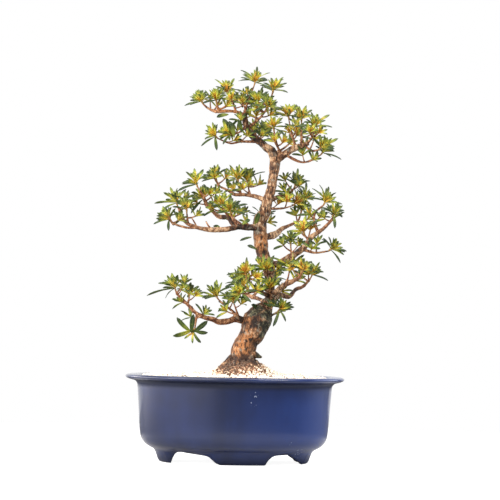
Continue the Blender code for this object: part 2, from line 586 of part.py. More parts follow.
def axis_of(spray):
    """The way a spray's core points: on from its twig, turned half upward."""
    before, foot = place(*spray.twig[-2]), place(*spray.twig[-1])
    return ((foot - before).normalized() + Vector((0, 0, 0.8))).normalized()


def core_points(spray):
    """Start and direction of the core, just past the twig's end."""
    foot, axis = place(*spray.twig[-1]), axis_of(spray)
    before = place(*spray.twig[-2])
    return foot + (foot - before).normalized() * 2 * GAP + axis * GAP, axis


def tree_of(verts, faces):
    """A search tree of a small solid with its middle and reach."""
    middle = sum(verts, Vector()) / len(verts)
    reach = max((v - middle).length for v in verts)
    return middle, reach, BVHTree.FromPolygons(verts, faces)


def clear_of_wood(verts, stretches):
    """Whether a blade keeps clear of every stretch of wood from a third of its length on."""
    probes = verts[3:] + [(v + verts[-1]) / 2 for v in verts[-4:-1]]
    probes += [(a + b * 2) / 3 for a, b in zip(verts, verts[3:-1])]
    for start, end, radius in stretches:
        run = end - start
        for probe in probes:
            t = max(0.0, min(1.0, (probe - start).dot(run) / run.length_squared))
            if (probe - start - run * t).length < radius + WOOD_CLEAR:
                return False
    return True


def near(stretches, middle, reach):
    """The stretches of wood that come within reach of a point."""
    found = []
    for start, end, radius in stretches:
        centre = (start + end) / 2
        if (centre - middle).length < (end - start).length / 2 + radius + reach + 2:
            found.append((start, end, radius))
    return found


def fits(index, verts, faces, stretches, placed):
    """A blade's place among the placed ones, or None where it meets wood or another spray."""
    middle, reach, tree = tree_of(verts, faces)
    if min(v.z for v in verts) < 118 or max(abs(v.x) for v in verts) > LIP_X - 1:
        return None
    if not clear_of_wood(verts, near(stretches, middle, reach)):
        return None
    for other, other_middle, other_reach, other_tree in placed:
        if other != index and (other_middle - middle).length < other_reach + reach:
            if tree.overlap(other_tree):
                return None
    return index, middle, reach, tree


def root_of(start, axis, height, tip):
    """Where a blade is rooted in its core, off the core's middle on the side of its tip."""
    on_axis = start + axis * height
    out = tip - on_axis
    out -= axis * out.dot(axis)
    if out.length < 1:
        return on_axis
    radius = CORE_RADIUS * (1 - (1 - CORE_TAPER) * height / CORE_LENGTH)
    return on_axis + out.normalized() * ROOT_OUT * radius


def outline_leaf(spray, i, start, axis, draw, attempt):
    """A leaf that the outline calls for, its tip swaying a little more each attempt."""
    dx, dy, dz = spray.tips[i]
    x, y, z = spray.twig[-1]
    sway = attempt * 1.1
    tip = place(x + dx + draw.uniform(-sway, sway) / 3, y + dy + draw.uniform(-sway, sway),
                z + dz + draw.uniform(-sway, sway) / 3)
    share = max(0.0, min(1.0, 0.3 + dz / 24))
    root = root_of(start, axis, ROOT_LOW + (ROOT_HIGH - ROOT_LOW) * share, tip)
    half = LEAF_HALF_WIDTH * min(1.1, 0.45 + (tip - root).length / 38)
    sections = OUTLINE_SECTIONS if (tip - root).length > LONG_LEAF else FILLING_SECTIONS
    return Leaf(root, tip, half, axis + Vector((0, 0, 0.2)), sections)


def filling_leaf(spray, i, start, axis, draw, attempt):
    """A leaf that the rule adds round the core, turned by the golden angle from the last."""
    share = (i + 0.5) / spray.more
    turn = GOLDEN_ANGLE * i + draw.uniform(-0.3, 0.3) * (1 + attempt) + draw.random() * 0.4
    rise = math.radians(-8 + 62 * share + draw.uniform(-12, 12) * (1 + attempt / 4))
    length = LEAF_LENGTH * (0.95 - 0.38 * share) * draw.uniform(0.82, 1.08) * 0.97 ** attempt
    flat = axis.cross(Vector((0, 1, 0.1))).normalized()
    out = flat * math.cos(turn) + axis.cross(flat) * math.sin(turn)
    way = out * math.cos(rise) + axis * math.sin(rise)
    root = start + axis * (ROOT_LOW + (ROOT_HIGH - ROOT_LOW) * share)
    root = root_of(start, axis, (root - start).dot(axis), root + way * length)
    return Leaf(root, root + way * length, LEAF_HALF_WIDTH * (1.0 - 0.3 * share), axis,
                FILLING_SECTIONS)


def plan_leaves():
    """The blades of every spray, each clear of the wood and of the other sprays."""
    stretches = []
    for _, points, _ in wood_routes():
        stretches += [(a[0], b[0], max(a[1], b[1])) for a, b in zip(points, points[1:])]
    blades = [[] for _ in SPRAYS]
    placed = []
    for index, spray in enumerate(SPRAYS):
        start, axis = core_points(spray)
        block = [start, start + axis * CORE_LENGTH]
        flat = axis.orthogonal().normalized() * (CORE_RADIUS + 2 * CLEAR)
        across = axis.cross(flat)
        ring = [p + v for p in block for v in (flat, across, -flat, -across)]
        faces = [(i, (i + 1) % 4, 4 + (i + 1) % 4, 4 + i) for i in range(4)]
        placed.append((index, *tree_of(ring, faces)))
    for rule, count in ((outline_leaf, lambda s: len(s.tips)), (filling_leaf, lambda s: s.more)):
        for index, spray in enumerate(SPRAYS):
            draw = random.Random(17 * index + 5)
            start, axis = core_points(spray)
            for i in range(count(spray)):
                for attempt in range(TRIES):
                    leaf = rule(spray, i, start, axis, draw, attempt)
                    spot = fits(index, *blade(*leaf, CLEAR), stretches, placed)
                    if spot:
                        placed.append(spot)
                        blades[index].append(leaf)
                        break
    return blades


def build_spray(spray, blades, collection, mat):
    """One spray: its core shoot with all its leaves joined to it."""
    start, axis = core_points(spray)
    bm = bmesh.new()
    bmesh.ops.create_cone(bm, cap_ends=True, segments=6, radius1=CORE_RADIUS * MM,
                          radius2=CORE_RADIUS * MM * CORE_TAPER, depth=CORE_LENGTH * MM)
    name = "spray_" + spray.name
    mesh = bpy.data.meshes.new(name)
    bm.to_mesh(mesh)
    bm.free()
    core = bpy.data.objects.new(name, mesh)
    turn = Vector((0, 0, 1)).rotation_difference(axis).to_matrix().to_4x4()
    centre = (start + axis * (CORE_LENGTH / 2)) * MM
    mesh.transform(Matrix.Translation(centre) @ turn)
    collection.objects.link(core)
    leaves = [mesh_object(f"{name}_{i}", *blade(*leaf), collection)
              for i, leaf in enumerate(blades)]
    join(core, leaves, solver="MANIFOLD")
    keep_one_material(core, mat)
    drop_scraps(core)
    return core


def build_sprays(collection):
    """Every spray of leaves, greener or more golden."""
    for spray, blades in zip(SPRAYS, plan_leaves()):
        green, gold = (0.10, 0.20, 0.04), (0.55, 0.36, 0.05)
        colour = [g + (y - g) * spray.gold for g, y in zip(green, gold)]
        build_spray(spray, blades, collection, material("leaf_" + spray.name, colour, 0.35))


def main():
    for obj in list(bpy.data.objects):
        bpy.data.objects.remove(obj)
    parts = new_collection("satsuki_azalea_bonsai")
    cutters = new_collection("cutters")
    build_pot(parts, cutters)
    build_soil(parts)
    build_wood(parts)
    build_sprays(parts)


main()
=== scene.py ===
"""Satsuki azalea bonsai: the looks of the pot, the soil, the bark and the leaves.

The tree's routes are the ones that its solids were made from, in millimetres as they look
from the front; place() turns them into the tree as it stands. Everything that is put into a
mesh is in metres, in the frame of the solids.
"""

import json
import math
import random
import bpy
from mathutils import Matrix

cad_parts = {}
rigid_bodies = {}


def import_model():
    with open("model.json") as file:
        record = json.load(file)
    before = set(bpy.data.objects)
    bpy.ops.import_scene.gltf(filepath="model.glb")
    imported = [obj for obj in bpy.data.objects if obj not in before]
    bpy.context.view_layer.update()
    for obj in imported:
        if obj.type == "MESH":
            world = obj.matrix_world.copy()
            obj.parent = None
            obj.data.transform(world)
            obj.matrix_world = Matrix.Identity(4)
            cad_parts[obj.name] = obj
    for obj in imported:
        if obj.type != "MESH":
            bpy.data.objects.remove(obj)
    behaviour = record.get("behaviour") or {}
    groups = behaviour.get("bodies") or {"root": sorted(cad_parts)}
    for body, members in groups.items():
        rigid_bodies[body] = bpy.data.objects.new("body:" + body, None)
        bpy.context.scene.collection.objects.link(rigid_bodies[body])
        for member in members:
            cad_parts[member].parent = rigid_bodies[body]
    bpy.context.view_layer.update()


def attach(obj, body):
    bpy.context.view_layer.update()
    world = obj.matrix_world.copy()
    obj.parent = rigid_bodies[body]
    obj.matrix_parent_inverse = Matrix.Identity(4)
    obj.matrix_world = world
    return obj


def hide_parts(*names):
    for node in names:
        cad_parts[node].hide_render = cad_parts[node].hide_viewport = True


bl_info = {
    "name": "Satsuki azalea bonsai",
    "version": (1, 0, 0),
    "blender": (4, 5, 0),
    "location": "View3D > Sidebar > Bonsai",
    "description": "Dresses a bonsai: glazed pot, soil and grains, bark, twigs and leaves",
    "category": "Object",
}

from collections import namedtuple
from itertools import product

import bpy
import numpy as np
from bpy.props import FloatProperty, FloatVectorProperty, IntProperty, PointerProperty
from mathutils import Matrix, Vector
from mathutils.bvhtree import BVHTree

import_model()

MM = 0.001
GAP = 0.3                       # clearance between neighbouring solids, mm

# How the tree stands in its pot, against the plane in which its routes are given
VIEW_DISTANCE = 2100.0          # from the eye to the middle of the pot, mm
EYE_X = 18.0
EYE_Z = 160.0
LEAN = math.radians(1.2)        # to the left, about the middle of the rim
LEAN_Z = 101.0
TURN = math.radians(-6.5)       # about the upright through the pot

# Pot, mm
LIP_X = 131.6                   # half the length over the lip
LIP_Y = 101.0                   # half the depth over the lip
RIM_Z = 102.7
FLOOR_TOP_Z = 21.0
OVAL = 2.25                     # power of the oval: 2 is an ellipse, more is squarer
FOOT_INNER_Z = 14.0
DRAIN_RADIUS = 8.0
DRAIN_X = 45.0
DRAIN_SPAN = (-16, 4)           # of the drill, from the floor's top
DRAIN_SIDES = 48
# Inset from the lip and height, from the middle of the inside floor round to the underside
POT_PROFILE = [
    (42, FLOOR_TOP_Z), (30, 25), (26, 34), (20.5, 100.2), (17.5, RIM_Z),
    (6, 103.2), (1.8, 102.3), (0, 100.5), (1.6, 98.6), (6, 97), (12, 95.6), (15, 92.5),
    (19.2, 38), (20.2, 31), (22.3, 25.5), (26, 21), (30.5, 18), (35.5, 15.4),
    (38, 12), (41.5, 2.5), (43.5, 0), (54, 0), (51.5, FOOT_INNER_Z),
]
# The cloud-shaped gaps left and right of the front foot, seen from the front: x and z
FOOT_GAPS = {
    -1: [(20, -1), (23, 0.8), (26, 2), (31, 6.3), (35, 9.3), (41, 10.7), (48, 11.6),
         (59, 12.9), (66, 13.8), (71, 12.5), (74, 8), (76, 2.5), (77, -1)],
    1: [(31, -1), (32.5, 1.2), (35.5, 5.8), (39, 9), (42, 10.6), (46.5, 11.6), (60, 12),
        (64, 10.2), (68, 7.5), (72, 4.6), (76, 2), (78, -1)],
}
# The gaps from there round the corners to the end feet, seen from the end: y and z
CORNER_GAPS = {
    -1: [(31, -1), (32.5, 3), (35, 8), (38, 12), (43, 13.8), (75, 13.8)],
    1: [(30, -1), (31.5, 1.8), (38, 4.8), (43, 9), (48, 12), (56, 13.2), (75, 13.2)],
}
CORNER_X = 68                   # they are cut beyond this

PROFILE_PART = 3.0              # the longest part of the profile before it is rounded
PROFILE_STEP = 1.2              # between the rings of the pot
PROFILE_SMOOTHING = 3           # times that the profile's corners are rounded
WOBBLE = 0.0022                 # of the thrown wall, against its distance from the middle
WOBBLE_SIZE = 38.0
LEAST_CUT = 0.97                # no point of the foot is below this share of its cut

# Soil, mm
SOIL_INSET = 20.3               # of its edge from the lip
SOIL_GAP = 0.35                 # to the pot's inner wall and floor
SOIL_EDGE_Z = 100.6
SOIL_SHOULDER = 2.5             # rise from the edge to the flat of the soil
SOIL_SIDES = 120                # points round a ring of its surface
SOIL_ROWS = 44                  # rings from its edge to its middle
SMALLEST_RING = 0.02            # the innermost ring against the edge
TRUNK_FOOT_X = 10.0             # the grains are redder round it
RED_SPOT = (-3, -13)            # and round this x and y
RED_REACH = (23.0, 22.0)        # from the trunk and from the spot
BIG_GRAINS = 0.08               # their share
BIG_GRAIN = 1.5                 # their size against the others'
GRAIN_SIZES = (0.7, 1.0)        # against the usual size
GRAIN_STANDING = (0.05, 0.6)    # height of a grain's middle over the ground, against its radius
GRAIN_CORNERS = (0.72, 1.25)    # how far its corners stand from its middle
GRAIN_STRETCH = (0.7, 1.2)      # along x, y and z
GRAIN_INSET = 1.2               # of the outermost grains from the soil's edge

# Leaves, mm
LEAF_LENGTH = 19.0
LEAF_HALF_WIDTH = 2.9
KEEL = 1.1                      # depth of a blade under its edges
ARCH = 1.6
CORE_RADIUS = 2.3
CORE_LENGTH = 8.5
ROOT_LOW = 2.6                  # where the lowest and highest leaf leave the core
ROOT_HIGH = 6.6                 # on the core
ROOT_OUT = 0.68                 # share of the core's radius at which a blade is rooted
CORE_TAPER = 0.5                # radius of the core's top against its foot
CLEAR = 0.25                    # each blade is grown by this when it is tested
WOOD_CLEAR = 1.0                # from a blade's outer part to the wood
GOLDEN_ANGLE = math.radians(137.5)
TRIES = 14                      # attempts at each leaf before it is left out
TIP_SWAY = 1.1                  # of an outline leaf's tip, more with each attempt
LONG_LEAF = 17.0                # a longer one has a section more
LOWEST_LEAF_Z = 118
SPARE_FACING = (0.3, 1.0, 0.2)  # for a blade that points the way it faces
LEAST_SIDE = 0.05               # such a blade's way sideways is shorter than this
LEAST_HALF_WIDTH = 0.45         # of any section
FOOT_KEEL = 0.65                # the keel's depth where the blade is rooted
# Along a blade: share of its length and of its width; the tip follows the last
OUTLINE_SECTIONS = ((0.0, 0.14), (0.32, 0.76), (0.66, 1.0))
FILLING_SECTIONS = ((0.0, 0.14), (0.55, 1.0))

# Trunk: x, y, z and radius
TRUNK = [
    (10, 0, 84, 16.5), (10, 0, 102, 17.2), (10, 0, 109, 16.3), (10, 0, 119, 14.6),
    (10, 0, 128, 15.1), (11, -1, 136, 13.9), (16, -2, 145, 13.0), (21, -2, 154, 14.4),
    (24, -1, 163, 16.3), (29, 0, 172, 16.0), (33, 3, 180, 11.8), (38, 4, 187, 7.6),
    (42, 5, 195, 6.0), (42, 5, 206, 5.8), (41, 5, 222, 6.2), (39, 4, 235, 6.4),
    (34, 3, 247, 7.0), (31, 1, 262, 8.2), (30, -1, 276, 8.2), (30, -2, 288, 7.9),
    (36, -3, 299, 6.7), (39, -3, 312, 6.0), (43, -1, 325, 5.5), (46, 1, 342, 5.5),
    (48, 3, 359, 6.2), (48, 3, 367, 5.6),
]
# Roots that flare into the soil, from inside the trunk's foot
ROOTS = {
    "root_left": [(6, 0, 127, 7), (-5, -3, 120, 6.5), (-13, -6, 113, 5), (-24, -10, 104, 3)],
    "root_front": [(8, -4, 126, 7), (3, -14, 116, 6), (0, -24, 106, 3.2)],
    "root_front_right": [(13, -4, 125, 7), (20, -13, 116, 5.4), (27, -22, 107, 3)],
    "root_right": [(14, 0, 124, 7), (25, 2, 115, 5), (36, 4, 106, 3)],
    "root_back": [(10, 4, 126, 7), (14, 16, 116, 5.6), (17, 27, 106, 3)],
    "root_back_left": [(7, 4, 126, 7), (-3, 13, 116, 5.6), (-11, 22, 106, 3)],
}
# Branches: x, y, z and radius, each starting inside what it grows from
BRANCHES = {
    "leader": [(48, 3, 364, 5.6), (44, 3, 373, 5.4), (37, 2, 377, 5.0), (31, 2, 383, 4.7),
        (24, 1, 388, 4.5), (19, 0, 394, 4.2), (14, -1, 402, 3.7), (12, -3, 410, 3.5),
        (11, -4, 418, 3.0)],
    "right_limb": [(48, 3, 361, 5.0), (53, 3, 365, 5.0), (60, 1, 369, 4.3), (67, -1, 374, 3.8),
        (74, -3, 377, 3.6), (82, -5, 379, 3.2), (88, -8, 382, 2.7)],
    "crown_left": [(11, -4, 416, 2.6), (1, -5, 420, 2.2), (-11, -6, 421, 1.9),
        (-22, -8, 420, 1.5)],
    "upper_left": [(40, -3, 310, 3.6), (32, 0, 315, 3.0), (24, 4, 318, 2.5), (11, 8, 320, 2.2),
        (0, 10, 320, 1.9), (-8, 13, 325, 1.6), (-19, 16, 330, 1.2)],
    "long_left": [(30, -2, 280, 4.3), (21, -8, 280, 4.1), (4, -14, 281, 3.8),
        (-12, -18, 278, 3.1), (-31, -20, 278, 2.8), (-44, -22, 280, 2.4), (-55, -22, 284, 2.2),
        (-61, -20, 289, 1.8), (-66, -18, 300, 1.4)],
    "left_inner": [(5, -14, 281, 3.2), (-2, -12, 284, 3.2), (-8, -6, 292, 3.0),
        (-20, 0, 294, 2.5), (-30, 6, 303, 2.0), (-35, 8, 307, 1.6)],
    "long_left_twig": [(-46, -22, 280, 1.5), (-56, -25, 280, 1.4), (-65, -28, 282, 1.3),
        (-74, -30, 285, 1.1)],
    "back_right": [(40, -2, 310, 2.9), (44, 6, 313, 2.6), (51, 14, 317, 2.3), (62, 24, 319, 1.9),
        (68, 28, 324, 1.5)],
    "back_mid": [(31, 3, 268, 4.1), (42, 12, 270, 3.8), (50, 22, 273, 3.4), (57, 32, 279, 2.6),
        (70, 42, 285, 1.8)],
    "big_right": [(38, 2, 240, 4.3), (50, -6, 236, 4.1), (68, -16, 246, 4.0), (78, -20, 253, 3.6),
        (86, -24, 260, 3.1), (92, -26, 269, 2.8), (105, -26, 278, 2.2), (115, -24, 288, 1.4)],
    "red_right": [(42, 4, 197, 3.8), (46, -3, 200, 3.6), (52, -10, 205, 3.5), (59, -18, 211, 3.1),
        (70, -26, 216, 2.4), (78, -30, 221, 1.6)],
    "low_back": [(41, 6, 192, 3.8), (49, 14, 197, 3.6), (56, 20, 199, 3.4), (65, 28, 198, 3.0),
        (73, 38, 206, 2.5), (81, 44, 209, 2.0), (88, 50, 216, 1.5)],
    "low_left": [(26, 0, 168, 4.8), (13, -4, 168, 4.3), (1, -8, 170, 4.1), (-8, -12, 168, 3.6),
        (-19, -16, 167, 3.4), (-26, -20, 170, 3.1), (-35, -24, 172, 2.9), (-46, -28, 177, 2.5),
        (-54, -30, 185, 2.2), (-61, -30, 192, 1.9), (-69, -30, 200, 1.4)],
    "front_left": [(41, 3, 197, 2.9), (35, -7, 201, 2.5), (25, -16, 207, 2.2),
        (16, -24, 216, 1.4)],
    "back_upper": [(31, 2, 276, 3.1), (27, 22, 279, 2.6), (11, 42, 282, 2.0), (-3, 54, 292, 1.5)],
    "back_low": [(36, 5, 185, 3.4), (32, 24, 193, 2.6), (18, 42, 198, 2.0), (8, 54, 204, 1.5)],
    "back_crown": [(47, 2, 352, 2.9), (49, 20, 364, 2.4), (40, 34, 376, 1.8), (30, 41, 386, 1.2)],
}
TWIG_RADIUS = 1.25              # where a twig leaves its branch
TWIG_END_RADIUS = 0.85          # where its spray begins

# A spray: its twig's route from the branch to its foot, the tips of the leaves that give it
# its outline, counted from its foot, how many more leaves a rule adds, and how golden it is
Spray = namedtuple("Spray", "name twig tips more gold")
Leaf = namedtuple("Leaf", "root tip half_width facing sections")
SPRAYS = [Spray(*row) for row in (
    ("crown_top", [(11, -4, 418), (14, -4, 428), (18, -5, 439), (23, -4, 452)], [(4, 0, 23),
     (-16, -8, 19), (-19, 8, 6), (19, -13, 16), (16, 15, 8), (22, -17, -5)], 2, 0.5),
    ("crown_left_top", [(1, -5, 420), (-2, -4, 430), (-7, -2, 439)], [(-2, 0, 18), (-17, -8, 21),
     (6, 6, 22), (12, 13, 8)], 2, 0.6),
    ("crown_left_mid", [(-20, -8, 421), (-22, -10, 430)], [(-14, -6, 7), (-3, 6, 18),
     (9, -10, 12)], 3, 0.35),
    ("crown_left_tip", [(-22, -8, 420), (-32, -8, 424), (-38, -8, 429)], [(-23, -6, -1),
     (-1, 4, 18), (-6, -13, 13), (-14, 10, 8)], 2, 0.35),
    ("crown_back", [(13, -4, 424), (10, 8, 428)], [(6, 6, 23), (-11, 15, 18), (10, 19, 13)], 2,
     0.4),
    ("crown_right", [(15, -1, 401), (26, 0, 409), (35, 0, 419), (40, 0, 428), (45, 0, 442)],
     [(6, 0, 18), (13, -10, 18), (19, 6, 2), (-11, 10, 14)], 2, 0.45),
    ("crown_middle", [(34, 0, 418), (29, -8, 428)], [(0, 4, 19), (11, -8, 17), (-11, -6, 14),
     (-16, 10, 6)], 2, 0.3),
    ("crown_front", [(26, 0, 409), (32, -8, 415), (37, -14, 422)], [(13, -8, 13), (20, -6, 2),
     (-14, -13, -1), (-4, 10, 17)], 2, 0.3),
    ("leader_left", [(14, -2, 403), (6, -7, 396), (-2, -10, 392)], [(-13, -10, 19), (5, 4, 19),
     (-16, 10, 7)], 2, 0.2),
    ("shoulder_left", [(25, 1, 384), (7, -2, 384), (-6, -4, 382), (-21, -4, 388)], [(-15, 4, 10),
     (-5, -10, 17), (-20, -8, -9), (-1, -15, -14), (13, 13, 12)], 2, 0.35),
    ("shoulder_front", [(56, 2, 369), (52, -6, 376), (49, -11, 385), (47, -12, 396)],
     [(10, -6, 12), (16, 6, 6), (13, -13, -4), (-8, 8, 11)], 2, 0.7),
    ("fork_back", [(25, 1, 386), (30, 6, 389)], [(2, 8, 20), (10, 15, 14), (-6, -4, 15)], 2, 0.1),
    ("right_yellow", [(73, -3, 377), (68, -1, 395), (65, 0, 410)], [(-10, -6, 18), (-4, 6, 20),
     (-21, -8, 17), (-24, 8, 10), (9, 10, 18), (9, -13, 5)], 2, 0.8),
    ("right_middle", [(80, -4, 379), (80, 4, 394), (80, 9, 407)], [(-9, 8, 23), (6, 0, 21),
     (0, -10, 15), (12, 15, 10)], 2, 0.5),
    ("right_outer", [(85, -6, 380), (92, -8, 388), (95, -8, 398)], [(-3, 4, 22), (5, -8, 19),
     (19, 6, 19), (22, -6, 4), (-12, -15, 21), (-12, -19, 10), (-23, -8, 4), (-14, -17, -4)], 1,
     0.5),
    ("right_low", [(84, -6, 379), (92, -12, 373), (100, -16, 374)], [(2, 6, 19), (-6, -6, 14),
     (8, -13, 18), (24, -4, 14), (20, 8, 2)], 2, 0.3),
    ("right_hanging", [(60, 1, 369), (70, 0, 363), (82, -1, 359), (92, -2, 362), (103, -2, 368)],
     [(25, -6, -5), (17, 10, 5), (-1, 15, 15), (-14, 19, 4)], 2, 0.1),
    ("upper_left_end", [(-19, 16, 330), (-22, 17, 336)], [(-3, 0, 20), (14, 8, 16), (-19, -8, 4),
     (-11, 15, 13)], 2, 0.4),
    ("upper_left_front", [(7, 9, 320), (4, 4, 334)], [(-2, 6, 21), (-14, -8, 17), (10, -10, 19)],
     2, 0.5),
    ("upper_left_back", [(18, 6, 319), (15, 15, 333)], [(7, 8, 20), (21, -6, 15), (-4, 15, 16)],
     2, 0.4),
    ("upper_left_twig", [(-32, 5, 305), (-38, 0, 318), (-45, -4, 329)], [(-4, 6, 23),
     (-14, -8, 19), (-19, 10, 6), (7, 10, 22), (14, -10, 16), (-24, -6, -4)], 1, 0.4),
    ("left_end", [(-66, -18, 300), (-69, -17, 306)], [(-9, 6, 23), (-17, -8, 17), (-28, 4, 4),
     (-1, -13, 22), (10, 10, 21), (-18, -15, -4)], 1, 0.3),
    ("left_end_front", [(-57, -22, 286), (-58, -28, 298)], [(0, -6, 21), (10, -8, 12),
     (-12, -13, 12)], 2, 0.4),
    ("left_low", [(-74, -30, 285), (-77, -30, 287)], [(-15, -6, 10), (-10, 6, 19), (-21, -8, -2),
     (-3, -13, -10), (9, -13, 10)], 1, 0.4),
    ("left_inner", [(-35, 8, 307), (-37, 9, 311)], [(-14, -10, 13), (-17, -19, 0), (-2, 4, 21),
     (13, 10, 17), (-16, -13, -13)], 2, 0.6),
    ("left_inner_front", [(-8, -6, 292), (-14, -9, 303)], [(-10, -6, 15), (2, 6, 22),
     (11, -8, 19), (-15, -13, 3)], 2, 0.4),
    ("left_mid_front", [(4, -14, 281), (-2, -18, 289), (-5, -21, 296)], [(20, -6, 13), (9, 6, 15),
     (-2, -10, 18), (18, -13, 0)], 2, 0.3),
    ("back_right_top", [(68, 28, 324), (71, 30, 328)], [(5, 4, 24), (-10, -8, 16), (12, 8, 16)],
     2, 0.2),
    ("back_right_end", [(59, 22, 318), (70, 26, 311), (79, 30, 312)], [(7, 6, 24), (18, -6, 10),
     (-3, -13, 19)], 2, 0.2),
    ("back_right_gold", [(38, -3, 304), (48, 6, 303), (60, 15, 304), (70, 20, 307)],
     [(-14, -8, 7), (-8, 6, 17), (1, -6, 22)], 2, 0.9),
    ("right_crest", [(100, -26, 274), (95, -20, 288), (97, -15, 299), (106, -11, 307)],
     [(-13, 6, 21), (-19, -6, 9), (-4, -10, 25), (7, 6, 23), (15, -8, 16), (23, 6, 2)], 1, 0.3),
    ("right_end", [(115, -24, 288), (117, -24, 292)], [(7, -6, 15), (13, 8, 10), (12, -13, 1),
     (-13, 4, 13), (3, -17, -12)], 1, 0.1),
    ("right_gold", [(89, -25, 264), (84, -29, 271)], [(0, -4, 23), (-14, 6, 18), (-21, -6, 5),
     (14, -6, 16)], 2, 0.8),
    ("right_column", [(70, 42, 285), (76, 44, 289), (79, 44, 297)], [(1, -4, 16), (-11, 6, 8),
     (11, 4, 10), (15, -10, 3)], 2, 0.2),
    ("right_green", [(68, -16, 246), (67, -11, 257)], [(-4, 4, 20), (-14, -6, 13), (7, 8, 17),
     (13, -13, 7)], 2, 0.1),
    ("right_red_stem", [(82, -21, 254), (96, -21, 250), (112, -22, 252)], [(-8, 6, 15),
     (12, -6, 12), (15, -4, -14), (15, 8, -1)], 2, 0.1),
    ("mid_right_yellow", [(59, -18, 211), (63, -16, 218), (65, -16, 226)], [(-4, -4, 27),
     (5, -8, 24), (18, 4, 22), (-21, -6, 20), (-15, -15, 13), (-15, -10, 2), (17, -13, 10)], 1,
     0.6),
    ("mid_right_gold", [(78, -30, 221), (79, -30, 225)], [(1, -4, 19), (13, 6, 15), (14, -10, 4),
     (-12, -13, 9)], 1, 0.8),
    ("low_back_end", [(88, 50, 216), (91, 50, 220)], [(1, -4, 20), (12, 6, 14), (21, 4, -3),
     (-9, 10, 12)], 2, 0.2),
    ("front_left_gold", [(16, -24, 216), (14, -25, 220)], [(-6, -4, 18), (-24, -6, 4),
     (13, -10, 12), (-19, -13, -6)], 2, 0.8),
    ("front_left_low", [(25, -16, 207), (17, -28, 202), (10, -35, 200)], [(-4, 4, 19),
     (-17, 6, 10), (-21, -8, -2), (17, -6, 5), (9, -13, -9)], 2, 0.5),
    ("low_left_inner", [(2, -7, 170), (-1, -4, 178), (-12, -5, 187), (-20, -6, 194)],
     [(-2, 4, 24), (-14, 6, 18), (16, -6, 16), (20, 10, 2), (-16, -10, 1)], 1, 0.3),
    ("low_left_front", [(5, -7, 169), (2, -16, 180), (-1, -21, 188)], [(3, -4, 20), (-11, -8, 15),
     (12, -10, 9), (-11, -6, 0)], 1, 0.3),
    ("low_left_end", [(-69, -30, 200), (-71, -30, 204)], [(-5, 4, 22), (-21, -6, 10),
     (-35, 6, -5), (2, -13, 20), (15, 8, 16), (-13, -17, -8)], 1, 0.3),
    ("low_left_back", [(-57, -30, 188), (-55, -22, 196)], [(-7, 13, 18), (12, 10, 14),
     (-16, 17, 10)], 2, 0.3),
    ("low_left_hanging", [(-46, -28, 176), (-47, -31, 167), (-48, -31, 160)], [(-22, -6, 12),
     (-26, -10, -10), (-2, -15, 16), (15, -8, 8), (15, -10, -6)], 1, 0.1),
    ("trunk_right", [(32, 1, 175), (43, -7, 175), (51, -11, 179)], [(0, -6, 15), (16, -6, 5),
     (10, -10, -11), (-5, -15, -17), (-12, -17, 9)], 1, 0.1),
    ("trunk_front_high", [(39, 4, 222), (38, -14, 227)], [(-5, -8, 18), (9, -6, 20),
     (-13, -13, 7)], 2, 0.5),
    ("trunk_front_low", [(42, 4, 198), (42, -14, 205)], [(-6, -6, 17), (7, -8, 14),
     (-13, -13, 4)], 2, 0.4),
    ("back_upper", [(-3, 54, 292), (-5, 56, 297)], [(-10, 6, 17), (12, 8, 16), (0, -6, 23)], 3,
     0.3),
    ("back_upper_side", [(17, 35, 281), (26, 52, 283), (31, 62, 289)], [(-10, 4, 17), (10, 6, 13),
     (0, -6, 20)], 3, 0.3),
    ("back_low", [(8, 54, 204), (5, 57, 209)], [(-13, 4, 14), (11, 6, 16), (-1, -6, 23)], 3, 0.3),
    ("back_low_side", [(20, 38, 196), (32, 56, 208), (42, 64, 215)], [(-10, 6, 19), (14, 4, 14),
     (1, -6, 22)], 3, 0.3),
    ("back_crown", [(30, 41, 386), (26, 43, 391)], [(-10, 6, 18), (12, 6, 16), (0, -4, 25)], 3,
     0.4),
    ("back_crown_side", [(46, 26, 369), (60, 42, 377), (72, 48, 388)], [(-10, 6, 17), (11, 6, 16),
     (0, -6, 24)], 3, 0.4),
)]

# What only the looks hold: x, y, z and radius, in mm
STUBS = {
    "stub_right": [(22, -4, 128, 5), (27, -5, 126.5, 3.4), (32, -6, 124.8, 1.0)],
    "stub_left": [(8, -6, 169, 4.4), (2, -11, 173, 3.4), (0, -13, 176, 2.4)],
    "cut_knob": [(41, 1, 192, 5), (37, -4, 192, 4.2), (35, -6, 192, 3.4)],
    "moss_knob": [(28, -6, 170, 9), (24, -12, 172, 6), (22, -15, 173, 3.4)],
}
# Relief of the bark: size in mm and seed of each part, and how the flakes are drawn out
BARK_NOISE = {"lumps": (11.0, 3.0), "small": (5.0, 7.0), "ridges": (2.6, 1.0),
              "fine": (1.2, 5.0)}
BARK_SQUEEZE = np.array([1.0, 1.0, 0.45])
END_DOMES = (0.3, 0.5)          # of a bar's first and last end, against its radius
SMOOTH_BRANCHES = ("low_left",)     # with younger bark than their thickness calls for
# Middle and reach of the patches on the bark, in mm
PATCHES = {
    "moss": [(40, -6, 172, 13), (36, -12, 163, 9), (33, -10, 152, 7), (28, -8, 181, 8),
        (22, -12, 178, 6), (30, -5, 126, 7)],
    # painted shade where branches join and round the trunk's foot
    "damp": [(10, -14, 121, 9), (-3, -12, 122, 8), (21, -12, 120, 8), (30, -4, 146, 6),
        (32, -3, 272, 6), (38, 0, 305, 7), (46, 0, 352, 6), (47, 3, 366, 7), (16, -2, 392, 6),
        (-12, -6, 292, 6), (-3, -10, 286, 5)],
    # orange bark, partly its own colour and partly a painted highlight
    "warm": [(8, -15, 138, 10), (3, -13, 130, 7), (14, -14, 150, 8), (13, -14, 172, 5),
        (34, -7, 262, 9), (-14, -6, 421, 9), (0, -5, 420, 8), (36, -8, 245, 6)],
    "rough": [(18, -10, 140, 38), (30, -6, 172, 30), (30, -6, 255, 26), (12, -4, 395, 16)],
}
